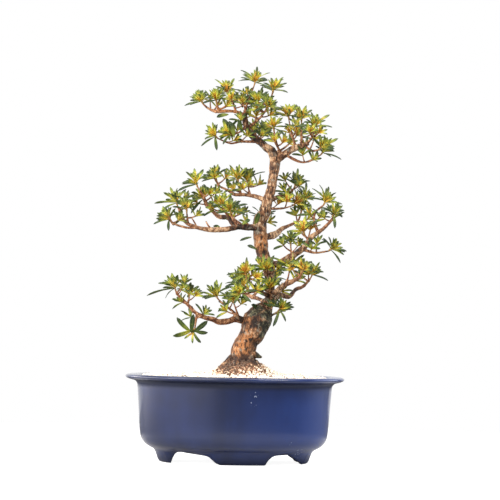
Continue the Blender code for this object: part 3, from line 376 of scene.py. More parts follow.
# The mound of grains round the trunk, in mm
GRAVEL_X = 6.0
GRAVEL_RADIUS = 31.0
GRAVEL_RISE = 21.0
GRAVEL_SKEW = 4                 # it reaches so much farther to the right than this radius
GRAVEL_POWER = 2.6              # 2 is a bell, more is flatter on top and steeper beside
LUMP_SIZE = 7.0
LUMP_RISE = 1.6
# Sprays without further leaves: how many young ones they have, how dark their leaves may be
# and how wide against the solids
QUIET_SPRAYS = ("low_left_hanging",)
QUIET_YOUNG = 2
QUIET_TONE = 0.4
QUIET_SLIMNESS = 0.95
BARE_TWIGS = [
    [(-46, -22, 281, 1.1), (-49, -24, 287, 0.9), (-53, -25, 293, 0.6)],
    [(-30, -20, 280, 1.1), (-33, -22, 284, 0.9), (-35, -22, 288, 0.6)],
    [(43, -3, 174, 1.2), (48, -8, 177, 0.9), (53, -11, 179, 0.7)],
]
# Foot, run to the tip, half width and gold of each leaf that grows by itself
LOOSE_LEAVES = [
    ((-17, -18, 279), (-9, 4, 4), 2.6, 0.1), ((8, -14, 284), (10, -3, 6), 2.6, 0.1),
    ((24, -8, 284), (5, -8, 14), 2.8, 0.1), ((20, -10, 269), (-14, -4, -4), 1.7, 0.05),
    ((26, -9, 254), (-11, -3, 5), 2.4, 0.02), ((-8, 13, 327), (-2, -6, 13), 2.6, 0.2),
    ((31, -2, 180), (-11, -8, 8), 3.0, 0.02), ((-8, -6, 417), (-14, -6, -3), 2.8, 0.15),
    ((-3, -9, 390), (-11, -2, 22), 3.2, 0.05), ((-1, -12, 389), (-6, -2, 20), 3.4, 0.16),
    ((8, -9, 395), (-4, -3, 16), 2.8, 0.08),
]
LEAF_STATIONS = np.array([0.0, 0.10, 0.24, 0.40, 0.56, 0.72, 0.87, 1.0])
LEAF_ACROSS = 5
LEAF_SLIMNESS = 0.62            # of a blade against the solid that holds it
FOOT_TOP_Z = 14.5               # where the foot ring leaves the pot's body

# Small leaves round an axis: rise in degrees, root, size and half width in mm, each as its
# value at share 0 and what it gains to share 1, and the reach of what is drawn to sway them
Whorl = namedtuple("Whorl", "turn_sway rise rise_sway root size size_sway half")
YOUNG_WHORL = Whorl((0, 0.8), (52, 30), (-10, 8), (2.5, 4.0), (16.0, -4.5), (-2.5, 1.5),
                    (1.5, -0.35))
SHOOT_WHORL = Whorl((-0.4, 0.4), (22, 52), (-8, 8), (-1.2, 1.6), (14.5, -3.5), (-2, 1.5),
                    (1.7, -0.4))

# Kinds of wood: mm between the rings of a bar, points round it, its lumps against its radius,
# its flakes in mm, and its age, from 0 for a twig to 1 for the trunk
Kind = namedtuple("Kind", "step sides lump flake age")
TRUNK_KIND = Kind(0.8, 96, 0.13, 1.0, 1.0)
ROOT_KIND = Kind(1.0, 40, 0.4, 0.7, 0.9)
THICK_BRANCH = Kind(0.9, 32, 0.4, 0.45, None)
THIN_BRANCH = THICK_BRANCH._replace(sides=20)
TWIG_KIND = Kind(1.2, 12, 0.5, 0.2, 0.06)
SIDE_SHOOT = Kind(1.2, 8, 0.5, 0.12, 0.0)
BARE_TWIG = Kind(1.2, 10, 0.4, 0.12, 0.0)
GREEN_SHOOT = Kind(1.0, 10, 0.5, 0.1, None)
SHOOT_PROFILE = ((2, 1.15), (4.5, 1.0), (7.5, 0.75), (9.5, 0.3))    # its heights and radii
THICK_RADIUS = 3.3              # a branch that starts wider is a thick one, mm
TWIG_FOOT = 1.55                # a twig's foot against its radius in the solids
SHOOT_RADII = (1.05, 0.85, 0.7)
SMOOTH_AGE = 0.35               # of young bark against old, on a branch as thick

# Side shoots, mm
SHOOT_TRIES = 24
SHOOT_SPAN = (0.2, 0.85)        # where on its twig it may start
SHOOT_RISE = (8, 70)            # degrees
SHOOT_DEPTH = 0.55              # its run to the front or back against that to a side
SHOOT_LENGTH = (8, 15)
SHOOT_SAG = (0, 0, 0.8)         # of its middle
HEART_HEIGHT = 7                # of a tuft's middle over the foot of its core
HEART_PAST_TIP = 5              # of a side shoot's tuft over the shoot's tip
OPEN_ROOM = 15.0                # a place this far from other tufts is as good as any
LEAST_ROOM = 6.5
STEM_CLEAR = 2                  # what the trunk's nearness takes off a tuft's room

# Camera and studio; mm where nothing else is said
FRAME_WIDTH = 600.0             # what the camera's frame spans at the middle of the pot, mm
AIM_X = 14.8
AIM_Z = 253.7
ROLL = math.radians(1.2)
SENSOR_WIDTH = 36.0
FLOOR_RADIUS = 0.8              # m
LIGHTS_AIM = (0.0, 0.0, 0.22)   # m
WHITE = (1.0, 1.0, 1.0)
# Each light panel: place, width and height in m, its share of the key light's power, tint
LIGHTS = {
    "key": ((0.9, -1.2, 2.0), 0.7, 0.7, 0.9, (1.0, 0.97, 0.93)),
    "top": ((0.0, 0.1, 1.7), 1.6, 1.2, 0.5, WHITE),
    "left": ((-1.5, 0.1, 0.5), 2.6, 1.2, 1.4, (1.0, 0.95, 0.93)),
    "front_left": ((-0.95, -1.35, 0.5), 1.5, 1.2, 0.8, (1.0, 0.95, 0.93)),
    "right": ((1.5, 0.1, 0.5), 1.4, 1.0, 0.42, (0.90, 0.95, 1.0)),
    "back": ((0.0, 1.6, 0.5), 3.4, 1.4, 0.28, WHITE),
}


def place_all(points):
    """Where points given as they look from the front stand in the tree, in mm.

    A point y behind the middle looks smaller by D / (D + y), so it is moved out from the
    line of sight by the inverse; then the tree leans and turns with its pot. Columns after
    x, y and z are kept.
    """
    points = np.array(points, float)
    x, y, z = points[:, 0], points[:, 1], points[:, 2]
    far = 1 + y / VIEW_DISTANCE
    x = EYE_X + (x - EYE_X) * far
    up = EYE_Z + (z - EYE_Z) * far - LEAN_Z
    leant = x * math.cos(LEAN) - up * math.sin(LEAN)
    points[:, 0] = leant * math.cos(TURN) - y * math.sin(TURN)
    points[:, 1] = leant * math.sin(TURN) + y * math.cos(TURN)
    points[:, 2] = LEAN_Z + x * math.sin(LEAN) + up * math.cos(LEAN)
    return points


def place(x, y, z):
    """place_all() for one point, as a vector."""
    return Vector(place_all([(x, y, z)])[0])


def twig_route(spray):
    """Points and radii of the twig that carries a spray."""
    last = len(spray.twig) - 1
    return [(*point, TWIG_RADIUS + (TWIG_END_RADIUS - TWIG_RADIUS) * i / last)
            for i, point in enumerate(spray.twig)]


def wood_routes():
    """Every stretch of wood: name, points of (place, radius) and how many sides."""
    stretches = [("trunk", TRUNK, 12)]
    stretches += [(name, route, 6) for name, route in ROOTS.items()]
    stretches += [(name, route, 8 if route[0][3] > 4.5 else 6)
                  for name, route in BRANCHES.items()]
    stretches += [("twig_" + spray.name, twig_route(spray), 4) for spray in SPRAYS]
    return [(name, [(place(x, y, z), radius) for x, y, z, radius in route], sides)
            for name, route, sides in stretches]


def blade(root, tip, half_width, facing, sections, grow=0.0):
    """Points and faces of a closed leaf blade from its root to its tip.

    Three points make each section: the two edges and the keel under the midrib. The midrib
    rises in an arch, ARCH sin(pi t), and the blade is widest past its middle.
    """
    along = tip - root
    length = along.length
    along = along / length
    side = along.cross(facing)
    if side.length < LEAST_SIDE:
        side = along.cross(Vector(SPARE_FACING))
    side.normalize()
    above = side.cross(along)
    width = half_width + grow
    verts = []
    for t, share in sections:
        centre = root + along * (length * t) + above * (ARCH * math.sin(math.pi * t))
        half = max(width * share, LEAST_HALF_WIDTH + grow)
        keel = (KEEL if t else FOOT_KEEL) + grow
        verts += [centre + side * half + above * grow, centre - side * half + above * grow,
                  centre - above * keel]
    verts.append(tip + along * grow)
    last = len(verts) - 1
    faces = [(0, 1, 2), (last - 3, last - 2, last), (last - 2, last - 1, last),
             (last - 1, last - 3, last)]
    for row in range(0, last - 3, 3):
        for i in range(3):
            j = (i + 1) % 3
            faces += [(row + i, row + j, row + 3 + j), (row + i, row + 3 + j, row + 3 + i)]
    return verts, faces


def axis_of(spray):
    """The way a spray's core points: on from its twig, turned half upward."""
    before, foot = place(*spray.twig[-2]), place(*spray.twig[-1])
    return ((foot - before).normalized() + Vector((0, 0, 0.8))).normalized()


def core_points(spray):
    """Start and direction of the core, just past the twig's end."""
    foot, axis = place(*spray.twig[-1]), axis_of(spray)
    before = place(*spray.twig[-2])
    return foot + (foot - before).normalized() * 2 * GAP + axis * GAP, axis


def tree_of(verts, faces):
    """A search tree of a small solid with its middle and reach."""
    middle = sum(verts, Vector()) / len(verts)
    reach = max((v - middle).length for v in verts)
    return middle, reach, BVHTree.FromPolygons(verts, faces)


def clear_of_wood(verts, stretches):
    """Whether a blade keeps clear of every stretch of wood from a third of its length on."""
    probes = verts[3:] + [(v + verts[-1]) / 2 for v in verts[-4:-1]]
    probes += [(a + b * 2) / 3 for a, b in zip(verts, verts[3:-1])]
    for start, end, radius in stretches:
        run = end - start
        for probe in probes:
            t = max(0.0, min(1.0, (probe - start).dot(run) / run.length_squared))
            if (probe - start - run * t).length < radius + WOOD_CLEAR:
                return False
    return True


def near(stretches, middle, reach):
    """The stretches of wood that come within reach of a point."""
    found = []
    for start, end, radius in stretches:
        centre = (start + end) / 2
        if (centre - middle).length < (end - start).length / 2 + radius + reach + 2:
            found.append((start, end, radius))
    return found


def fits(index, verts, faces, stretches, placed):
    """A blade's place among the placed ones, or None where it meets wood or another spray."""
    middle, reach, tree = tree_of(verts, faces)
    if min(v.z for v in verts) < LOWEST_LEAF_Z or max(abs(v.x) for v in verts) > LIP_X - 1:
        return None
    if not clear_of_wood(verts, near(stretches, middle, reach)):
        return None
    for other, other_middle, other_reach, other_tree in placed:
        if other != index and (other_middle - middle).length < other_reach + reach:
            if tree.overlap(other_tree):
                return None
    return index, middle, reach, tree


def root_of(start, axis, height, tip):
    """Where a blade is rooted in its core, off the core's middle on the side of its tip."""
    on_axis = start + axis * height
    out = tip - on_axis
    out -= axis * out.dot(axis)
    if out.length < 1:
        return on_axis
    radius = CORE_RADIUS * (1 - (1 - CORE_TAPER) * height / CORE_LENGTH)
    return on_axis + out.normalized() * ROOT_OUT * radius


def root_height(share):
    """The height on the core of a leaf that is the lowest at share 0 and the highest at 1."""
    return ROOT_LOW + (ROOT_HIGH - ROOT_LOW) * share


def outline_leaf(spray, i, start, axis, draw, attempt):
    """A leaf that the outline calls for, its tip swaying a little more each attempt."""
    dx, dy, dz = spray.tips[i]
    x, y, z = spray.twig[-1]
    sway = attempt * TIP_SWAY
    tip = place(x + dx + draw.uniform(-sway, sway) / 3, y + dy + draw.uniform(-sway, sway),
                z + dz + draw.uniform(-sway, sway) / 3)
    share = max(0.0, min(1.0, 0.3 + dz / 24))
    root = root_of(start, axis, root_height(share), tip)
    half = LEAF_HALF_WIDTH * min(1.1, 0.45 + (tip - root).length / 38)
    sections = OUTLINE_SECTIONS if (tip - root).length > LONG_LEAF else FILLING_SECTIONS
    return Leaf(root, tip, half, axis + Vector((0, 0, 0.2)), sections)


def leaf_way(axis, flat, turn, rise):
    """The way of a leaf: turned about the axis from flat, then raised towards the axis."""
    out = flat * math.cos(turn) + axis.cross(flat) * math.sin(turn)
    return out * math.cos(rise) + axis * math.sin(rise)


def rooted_leaf(start, axis, turn, rise, size, height, half):
    """A leaf of a size and half width that leaves its core at a height."""
    way = leaf_way(axis, axis.cross(Vector((0, 1, 0.1))).normalized(), turn, rise)
    root = start + axis * height
    root = root_of(start, axis, (root - start).dot(axis), root + way * size)
    return Leaf(root, root + way * size, half, axis, FILLING_SECTIONS)


def filling_leaf(spray, i, start, axis, draw, attempt):
    """A leaf that the rule adds round the core, turned by the golden angle from the last."""
    share = (i + 0.5) / spray.more
    turn = GOLDEN_ANGLE * i + draw.uniform(-0.3, 0.3) * (1 + attempt) + draw.random() * 0.4
    rise = math.radians(-8 + 62 * share + draw.uniform(-12, 12) * (1 + attempt / 4))
    size = LEAF_LENGTH * (0.95 - 0.38 * share) * draw.uniform(0.82, 1.08) * 0.97 ** attempt
    return rooted_leaf(start, axis, turn, rise, size, root_height(share),
                       LEAF_HALF_WIDTH * (1.0 - 0.3 * share))


def extra_leaf(spray, i, start, axis, draw, attempt):
    """A further leaf between the others: its turn, rise and length are drawn at random."""
    turn = GOLDEN_ANGLE * i + 1.1 + draw.uniform(-0.9, 0.9)
    rise = math.radians(draw.uniform(8, 72))
    size = LEAF_LENGTH * draw.uniform(0.55, 0.95) * 0.97 ** attempt
    height = draw.uniform(ROOT_LOW, ROOT_HIGH)
    return rooted_leaf(start, axis, turn, rise, size, height,
                       LEAF_HALF_WIDTH * draw.uniform(0.65, 0.95))


def plan_leaves(extra):
    """The blades of every spray, each clear of the wood and of the other sprays."""
    stretches = []
    for _, points, _ in wood_routes():
        stretches += [(a[0], b[0], max(a[1], b[1])) for a, b in zip(points, points[1:])]
    blades = [[] for _ in SPRAYS]
    placed = []
    for index, spray in enumerate(SPRAYS):
        start, axis = core_points(spray)
        block = [start, start + axis * CORE_LENGTH]
        flat = axis.orthogonal().normalized() * (CORE_RADIUS + 2 * CLEAR)
        across = axis.cross(flat)
        ring = [p + v for p in block for v in (flat, across, -flat, -across)]
        faces = [(i, (i + 1) % 4, 4 + (i + 1) % 4, 4 + i) for i in range(4)]
        placed.append((index, *tree_of(ring, faces)))
    rules = ((outline_leaf, lambda s: len(s.tips)), (filling_leaf, lambda s: s.more),
             (extra_leaf, lambda s: 0 if s.name in QUIET_SPRAYS else extra))
    for rule, count in rules:
        for index, spray in enumerate(SPRAYS):
            draw = random.Random(17 * index + 5)
            start, axis = core_points(spray)
            for i in range(count(spray)):
                for attempt in range(TRIES):
                    leaf = rule(spray, i, start, axis, draw, attempt)
                    spot = fits(index, *blade(*leaf, CLEAR), stretches, placed)
                    if spot:
                        placed.append(spot)
                        blades[index].append(leaf)
                        break
    return blades


# Shader maths

class Value:
    """A socket that carries a number; arithmetic on it adds Math nodes."""

    def __init__(self, paint, socket):
        self.paint = paint
        self.socket = socket

    def __add__(self, other):
        return self.paint.math("ADD", self, other)

    def __sub__(self, other):
        return self.paint.math("SUBTRACT", self, other)

    def __rsub__(self, other):
        return self.paint.math("SUBTRACT", other, self)

    def __mul__(self, other):
        return self.paint.math("MULTIPLY", self, other)

    __radd__ = __add__


class Paint:
    """A node material with one Principled shader."""

    def __init__(self, name):
        self.material = bpy.data.materials.new(name)
        self.material.use_nodes = True
        self.tree = self.material.node_tree
        self.shader = self.tree.nodes["Principled BSDF"]

    def link(self, source, socket):
        """Feed a socket with a Value, an output or a plain value."""
        source = source.socket if isinstance(source, Value) else source
        if isinstance(source, bpy.types.NodeSocket):
            self.tree.links.new(source, socket)
        else:
            socket.default_value = source

    def node(self, kind, settings=None, inputs=None):
        """A node of a kind, with its settings made first and then its sockets fed."""
        node = self.tree.nodes.new(kind)
        for key, value in (settings or {}).items():
            if key == "stops":
                while len(node.color_ramp.elements) < len(value):
                    node.color_ramp.elements.new(0.5)
                for element, (place_at, colour) in zip(node.color_ramp.elements, value):
                    element.position = place_at
                    element.color = (*colour, 1.0)
            else:
                setattr(node, key, value)
        for key, value in (inputs or {}).items():
            self.link(value, node.inputs[key])
        return node

    def math(self, operation, a, b=0.0, clamp=False):
        made = self.node("ShaderNodeMath", {"operation": operation, "use_clamp": clamp},
                         {0: a, 1: b})
        return Value(self, made.outputs[0])

    def clamp(self, value):
        return self.math("ADD", value, 0.0, True)

    def place(self):
        return self.node("ShaderNodeTexCoord").outputs["Object"]

    def attribute(self, name):
        return Value(self, self.node("ShaderNodeAttribute", {"attribute_name": name})
                     .outputs["Fac"])

    def parts(self, vector):
        """The three parts of a vector."""
        split = self.node("ShaderNodeSeparateXYZ", inputs={0: vector})
        return [Value(self, part) for part in split.outputs]

    def stretched(self, scale):
        return self.node("ShaderNodeMapping", {},
                         {"Vector": self.place(), "Scale": scale}).outputs[0]

    def noise(self, scale, detail=3.0, rough=0.55, where=None):
        made = self.node("ShaderNodeTexNoise", {}, {
            "Vector": where or self.place(), "Scale": scale, "Detail": detail,
            "Roughness": rough})
        return Value(self, made.outputs[0])

    def cells(self, scale, feature="F1", where=None):
        made = self.node("ShaderNodeTexVoronoi", {"feature": feature},
                         {"Vector": where or self.place(), "Scale": scale})
        return Value(self, made.outputs["Distance"])

    def step(self, value, low, high):
        """0 below low, 1 above high, smooth between."""
        made = self.node("ShaderNodeMapRange", {"interpolation_type": "SMOOTHSTEP"},
                         {"Value": value, "From Min": low, "From Max": high})
        return Value(self, made.outputs[0])

    def ramp(self, value, stops):
        """The colour at a value among stops of (value, colour)."""
        return self.node("ShaderNodeValToRGB", {"stops": stops}, {0: value}).outputs[0]

    def mix(self, share, a, b):
        """The colour a where share is 0 and b where it is 1."""
        made = self.node("ShaderNodeMix", {"data_type": "RGBA"})
        self.link(share, made.inputs[0])
        for socket, colour in ((made.inputs[6], a), (made.inputs[7], b)):
            self.link((*colour, 1.0) if isinstance(colour, tuple) else colour, socket)
        return made.outputs[2]

    def layers(self, colour, *layers):
        """A colour with others laid over it, each given with its share before it."""
        for share, over in layers:
            colour = self.mix(share, colour, over)
        return colour

    def set(self, **inputs):
        for name, value in inputs.items():
            self.link(value, self.shader.inputs[name.replace("_", " ").title()
                                                .replace("Ior", "IOR")])
        return self.material

    def bump(self, height, strength, distance_mm):
        made = self.node("ShaderNodeBump", {}, {
            "Height": height, "Strength": strength, "Distance": distance_mm * MM})
        self.link(made.outputs[0], self.shader.inputs["Normal"])


FLECK = (0.45, 0.52, 0.70)
# Colour of the painted shade at the foot and in the neck under the lip
GLAZE_SHADE = (0.002, 0.004, 0.014)


def glaze_material(deep, bright):
    """Glossy cobalt glaze with a few flecks, paler where it pools and, as painted light, at one
    end of the pot.

    It is darker, in painted shade, and less glossy at the foot and in the neck under the lip.
    """
    paint = Paint("cobalt_glaze")
    cloud = paint.noise(9.0, 3.0)
    streak = paint.noise(26.0, 4.0, where=paint.stretched((1.0, 1.0, 0.3)))
    pool_and_painted_light = paint.step(cloud * 0.6 + streak * 0.4, 0.34, 0.70)
    east, _, height = paint.parts(paint.place())
    # painted light: the glaze is painted a brighter blue towards the pot's +x end, as if lit from
    # that side
    pool_and_painted_light = paint.clamp(pool_and_painted_light * 0.45 + paint.step(east, 0.0, 0.13) * 0.75)
    fleck = 1.0 - paint.step(paint.cells(330.0), 0.12, 0.20)
    fleck = fleck * paint.step(paint.noise(19.0, 1.0), 0.69, 0.72)
    paint.bump(cloud * 0.7 + paint.noise(60.0, 2.0) * 0.3, 0.12, 0.6)
    # painted shade: the glaze darkens at the foot and in the neck under the lip
    foot = 1.0 - paint.step(height, 0.002, 0.016)
    neck = paint.step(height, 0.086, 0.093) * (1.0 - paint.step(height, 0.0968, 0.0985))
    shade = paint.clamp(foot * 0.8 + neck * 0.9)
    colour = paint.layers(deep, (pool_and_painted_light, bright), (paint.clamp(fleck), FLECK),
                          (shade * 0.8, GLAZE_SHADE))
    return paint.set(base_color=colour, roughness=0.28 + streak * 0.12 + shade * 0.25,
                     coat_weight=0.75 - shade * 0.65, coat_roughness=0.09,
                     specular_ior_level=0.35)


SOIL_COLOURS = ((0.3, (0.03, 0.013, 0.008)), (0.55, (0.20, 0.10, 0.055)),
                (0.75, (0.50, 0.36, 0.24)))


def soil_material():
    """Damp brown soil between the grains."""
    paint = Paint("soil")
    grain = paint.noise(420.0, 4.0)
    paint.bump(grain, 0.8, 1.0)
    return paint.set(base_color=paint.ramp(grain, SOIL_COLOURS), roughness=0.95)


GRAIN_COLOURS = ((0.0, (0.045, 0.016, 0.009)), (0.10, (0.26, 0.10, 0.048)),
                 (0.26, (0.60, 0.38, 0.23)), (0.5, (0.86, 0.74, 0.58)),
                 (1.0, (0.95, 0.91, 0.84)))
GRAIN_MOTTLE = (0.55, 0.42, 0.30)


def grain_material():
    """Cream, white and reddish grains, one tone to each."""
    paint = Paint("grains")
    mottle = paint.noise(900.0, 3.0)
    colour = paint.mix(paint.step(mottle, 0.35, 0.7) * 0.35,
                       paint.ramp(paint.attribute("tone"), GRAIN_COLOURS), GRAIN_MOTTLE)
    paint.bump(mottle, 0.6, 0.3)
    return paint.set(base_color=colour, roughness=0.9)


OLD_BARK = ((0.38, (0.012, 0.006, 0.003)), (0.45, (0.065, 0.026, 0.011)),
            (0.53, (0.22, 0.098, 0.040)), (0.62, (0.58, 0.38, 0.22)))
YOUNG_BARK = ((0.36, (0.050, 0.017, 0.009)), (0.5, (0.24, 0.092, 0.036)),
              (0.64, (0.52, 0.29, 0.15)))
MOSS = ((0.38, (0.006, 0.007, 0.004)), (0.52, (0.030, 0.030, 0.014)), (0.64, (0.20, 0.19, 0.11)))
CRACK = (0.016, 0.009, 0.006)
# Orange bark, partly its own colour and partly a painted highlight
ORANGE_HIGHLIGHT_BARK = (0.56, 0.225, 0.070)
LICHEN = (0.33, 0.30, 0.23)
# Colour of the painted shade where branches join and round the trunk's foot
JOINT_SHADE_BARK = (0.030, 0.014, 0.009)


def bark_material():
    """Flaking bark on old wood, thin red-brown bark on twigs, with moss and lichen, painted
    shade where branches join and round the trunk's foot, and orange bark that is partly a
    painted highlight.

    age is 1 on the trunk and 0 on the twigs; relief is the depth of the flakes that the mesh
    holds; the moss, the painted shade, the orange bark and the rough patches are each 1 in
    the middle of a patch.
    """
    paint = Paint("bark")
    age = paint.attribute("age")
    relief = paint.attribute("relief")
    along = paint.stretched((1.0, 1.0, 0.5))
    flake = paint.noise(330.0, 5.0, 0.66, along)
    plates = paint.cells(230.0, "DISTANCE_TO_EDGE", along)
    deep = flake * 0.62 + relief * 0.38 - paint.attribute("rough") * 0.045
    young = paint.noise(300.0, 4.0, 0.6)
    crack = (1.0 - paint.step(plates, 0.0, 0.10)) * paint.step(age, 0.3, 0.8)
    # orange bark on raised flakes: partly its own colour, partly a painted highlight
    warm = paint.clamp(paint.attribute("warm") * 1.4) * paint.step(flake, 0.40, 0.55)
    lichen = paint.step(paint.noise(150.0, 4.0), 0.55, 0.63) * paint.step(age, 0.2, 0.7)
    edge = (paint.noise(140.0, 4.0) - 0.5) * 1.2
    moss = paint.step(paint.attribute("moss") + edge, 0.35, 0.65)
    # painted shade: the bark darkens where branches join and round the trunk's foot
    damp = paint.step(paint.attribute("damp") + edge, 0.35, 0.75)
    colour = paint.layers(
        paint.ramp(young, YOUNG_BARK),
        (paint.step(age, 0.15, 0.6), paint.ramp(deep, OLD_BARK)), (crack * 0.85, CRACK),
        (warm * 0.6, ORANGE_HIGHLIGHT_BARK), (lichen * 0.45, LICHEN),
        (moss * 0.95, paint.ramp(flake, MOSS)), (damp * 0.8, JOINT_SHADE_BARK))
    paint.bump(flake + plates * 1.5, 1.0, 0.8)
    return paint.set(base_color=colour, roughness=0.85)


LEAF_COLOURS = ((0.0, (0.012, 0.030, 0.006)), (0.14, (0.050, 0.085, 0.012)),
                (0.34, (0.27, 0.32, 0.042)), (0.56, (0.56, 0.49, 0.052)),
                (0.80, (0.64, 0.37, 0.036)), (1.0, (0.46, 0.19, 0.022)))
DARK_LEAF = (0.014, 0.032, 0.009)
LEAF_RIB = (0.30, 0.33, 0.09)
LEAF_UNDERSIDE = (0.20, 0.25, 0.10)


def leaf_material(name, under):
    """Leathery leaf: dark green when old, yellow-green and golden when young.

    gold is how young a leaf is and tone its own shade; the map runs from its foot to its tip
    and from edge to edge. The underside is paler and duller.
    """
    paint = Paint(name)
    gold = paint.attribute("gold")
    tone = paint.attribute("tone")
    along, across, _ = paint.parts(paint.node("ShaderNodeUVMap").outputs[0])
    rib = 1.0 - paint.step(paint.math("ABSOLUTE", across - 0.5), 0.015, 0.06)
    veins = paint.math("SINE", along * 46.0 + paint.math("ABSOLUTE", across - 0.5) * -22.0)
    mottle = paint.noise(180.0, 3.0)
    tip = paint.step(along, 0.25, 0.95)
    age = paint.clamp(gold * (1.35 - tip * 0.95) + 0.10 - tip * 0.12 + (mottle - 0.5) * 0.25)
    dark = paint.step(tone, 0.48, 0.72) * (0.25 + tip * 0.6)
    colour = paint.layers(paint.ramp(age, LEAF_COLOURS), (dark, DARK_LEAF),
                          (rib * 0.25, LEAF_RIB))
    if under:
        colour = paint.mix(0.25, colour, LEAF_UNDERSIDE)
    paint.bump(veins * 0.4 + mottle - rib, 0.35, 0.25)
    return paint.set(base_color=colour, roughness=0.62 if under else 0.40 + mottle * 0.2,
                     specular_ior_level=0.25 if under else 0.35)


SHOOT_COLOURS = ((0.3, (0.16, 0.07, 0.02)), (0.6, (0.36, 0.20, 0.045)),
                 (0.8, (0.48, 0.36, 0.08)))


def shoot_material():
    """Young shoots and bud scales, green to red-brown."""
    paint = Paint("shoot")
    colour = paint.ramp(paint.noise(320.0, 3.0), SHOOT_COLOURS)
    return paint.set(base_color=colour, roughness=0.6)


def floor_material(near, far, glow):
    """Plain studio floor that looks white; what the pot mirrors of it darkens with distance."""
    paint = Paint("floor")
    seen = paint.node("ShaderNodeLightPath").outputs["Is Camera Ray"]
    away = paint.node("ShaderNodeVectorMath", {"operation": "LENGTH"}, {0: paint.place()})
    share = paint.step(Value(paint, away.outputs["Value"]), 0.16, 0.34)
    return paint.set(base_color=paint.mix(share, near, far), roughness=0.9,
                     specular_ior_level=0.1,
                     emission_color=paint.mix(seen, (0.0, 0.0, 0.0), WHITE),
                     emission_strength=glow)


# Meshes from whole arrays

NOISE_WAY = np.array([127.1, 311.7, 74.7])
NOISE_SCALE = 43758.5453


class Pile:
    """Surfaces gathered into one mesh: points in mm, faces, a map and named numbers."""

    def __init__(self):
        self.verts, self.faces, self.maps, self.numbers = [], [], [], {}
        self.count = 0

    def add(self, verts, faces, uv=None, **numbers):
        """Add points (n, 3) and face arrays; a named number is one value or one a point."""
        verts = np.asarray(verts, float)
        self.verts.append(verts)
        self.faces += [np.asarray(part) + self.count for part in faces if len(part)]
        self.maps.append(np.zeros((len(verts), 2)) if uv is None else uv)
        for name, value in numbers.items():
            self.numbers.setdefault(name, []).append(
                np.broadcast_to(np.asarray(value, float), len(verts)))
        self.count += len(verts)

    def make(self, name, materials):
        """The mesh object, at the origin, shaded smooth."""
        verts = np.concatenate(self.verts) * MM
        loops = np.concatenate([part.ravel() for part in self.faces]).astype(np.int32)
        sizes = np.concatenate([np.full(len(part), part.shape[1]) for part in self.faces])
        starts = np.concatenate([[0], np.cumsum(sizes)[:-1]]).astype(np.int32)
        mesh = bpy.data.meshes.new(name)
        mesh.vertices.add(len(verts))
        mesh.vertices.foreach_set("co", verts.ravel().astype(np.float32))
        mesh.loops.add(len(loops))
        mesh.loops.foreach_set("vertex_index", loops)
        mesh.polygons.add(len(sizes))
        mesh.polygons.foreach_set("loop_start", starts)
        mesh.update(calc_edges=True)
        layer = mesh.uv_layers.new(name="map")
        layer.data.foreach_set("uv", np.concatenate(self.maps)[loops].ravel())
        for key, values in self.numbers.items():
            numbers = mesh.attributes.new(key, "FLOAT", "POINT")
            numbers.data.foreach_set("value", np.concatenate(values).astype(np.float32))
        for material in materials:
            mesh.materials.append(material)
        mesh.validate()
        mesh.shade_smooth()
        obj = bpy.data.objects.new(name, mesh)
        bpy.context.scene.collection.objects.link(obj)
        return obj


def full_turn(sides):
    """Evenly spaced angles all the way round."""
    return np.linspace(0, 2 * math.pi, sides, endpoint=False)


def grid_quads(rows, across, closed):
    """Quads between rows of points; a closed grid joins each row's end to its start."""
    row, col = np.meshgrid(np.arange(rows - 1), np.arange(across - (not closed)), indexing="ij")
    here, beside = row * across + col, row * across + (col + 1) % across
    return np.stack([here, beside, beside + across, here + across], -1).reshape(-1, 4)


def closed_faces(rows, sides):
    """Quads between rings, and triangles that close the first and the last ring to a pole.

    The two poles are the two points after the last ring's.
    """
    side = np.arange(sides)
    first, last = (np.stack([ring + side, ring + (side + 1) % sides, np.full(sides, pole)], -1)
                   for ring, pole in ((0, rows * sides),
                                      ((rows - 1) * sides, rows * sides + 1)))
    return [grid_quads(rows, sides, True), first[:, ::-1], last]


def faces_of_copies(faces, count, points):
    """The faces of a shape of so many points for each of its copies."""
    return (faces[None] + points * np.arange(count)[:, None, None]).reshape(-1, faces.shape[1])


def value_noise(points, size, seed=0.0):
    """A smooth random number from 0 to 1 that changes over about size.

    Each corner of a cell holds frac(S sin(corner . k + seed)), with k = NOISE_WAY and
    S = NOISE_SCALE, and a point blends its cell's eight corners by f^2 (3 - 2 f).
    """
    scaled = points / size
    cell = np.floor(scaled)
    blend = (scaled - cell) ** 2 * (3 - 2 * (scaled - cell))
    total = np.zeros(points.shape[:-1])
    for corner in product((0, 1), repeat=3):
        at = np.sin((cell + corner) @ NOISE_WAY + seed) * NOISE_SCALE
        weight = np.where(np.array(corner, bool), blend, 1 - blend).prod(-1)
        total += (at - np.floor(at)) * weight
    return total


def smooth_route(points, step):
    """Points about step apart on a smooth curve through the given ones.

    Between two points the curve is the cubic with the slopes (next - last) / 2 at its ends.
    """
    points = np.asarray(points, float)
    padded = np.vstack([2 * points[0] - points[1], points, 2 * points[-1] - points[-2]])
    pieces = []
    for a, b, c, d in zip(padded, padded[1:], padded[2:], padded[3:]):
        count = max(2, int(np.linalg.norm((c - b)[:3]) / step))
        t = np.linspace(0, 1, count, endpoint=False)[:, None]
        pieces.append(b + 0.5 * t * (c - a + t * (2 * a - 5 * b + 4 * c - d
                                                 + t * (3 * (b - c) + d - a))))
    return np.vstack(pieces + [points[-1:]])


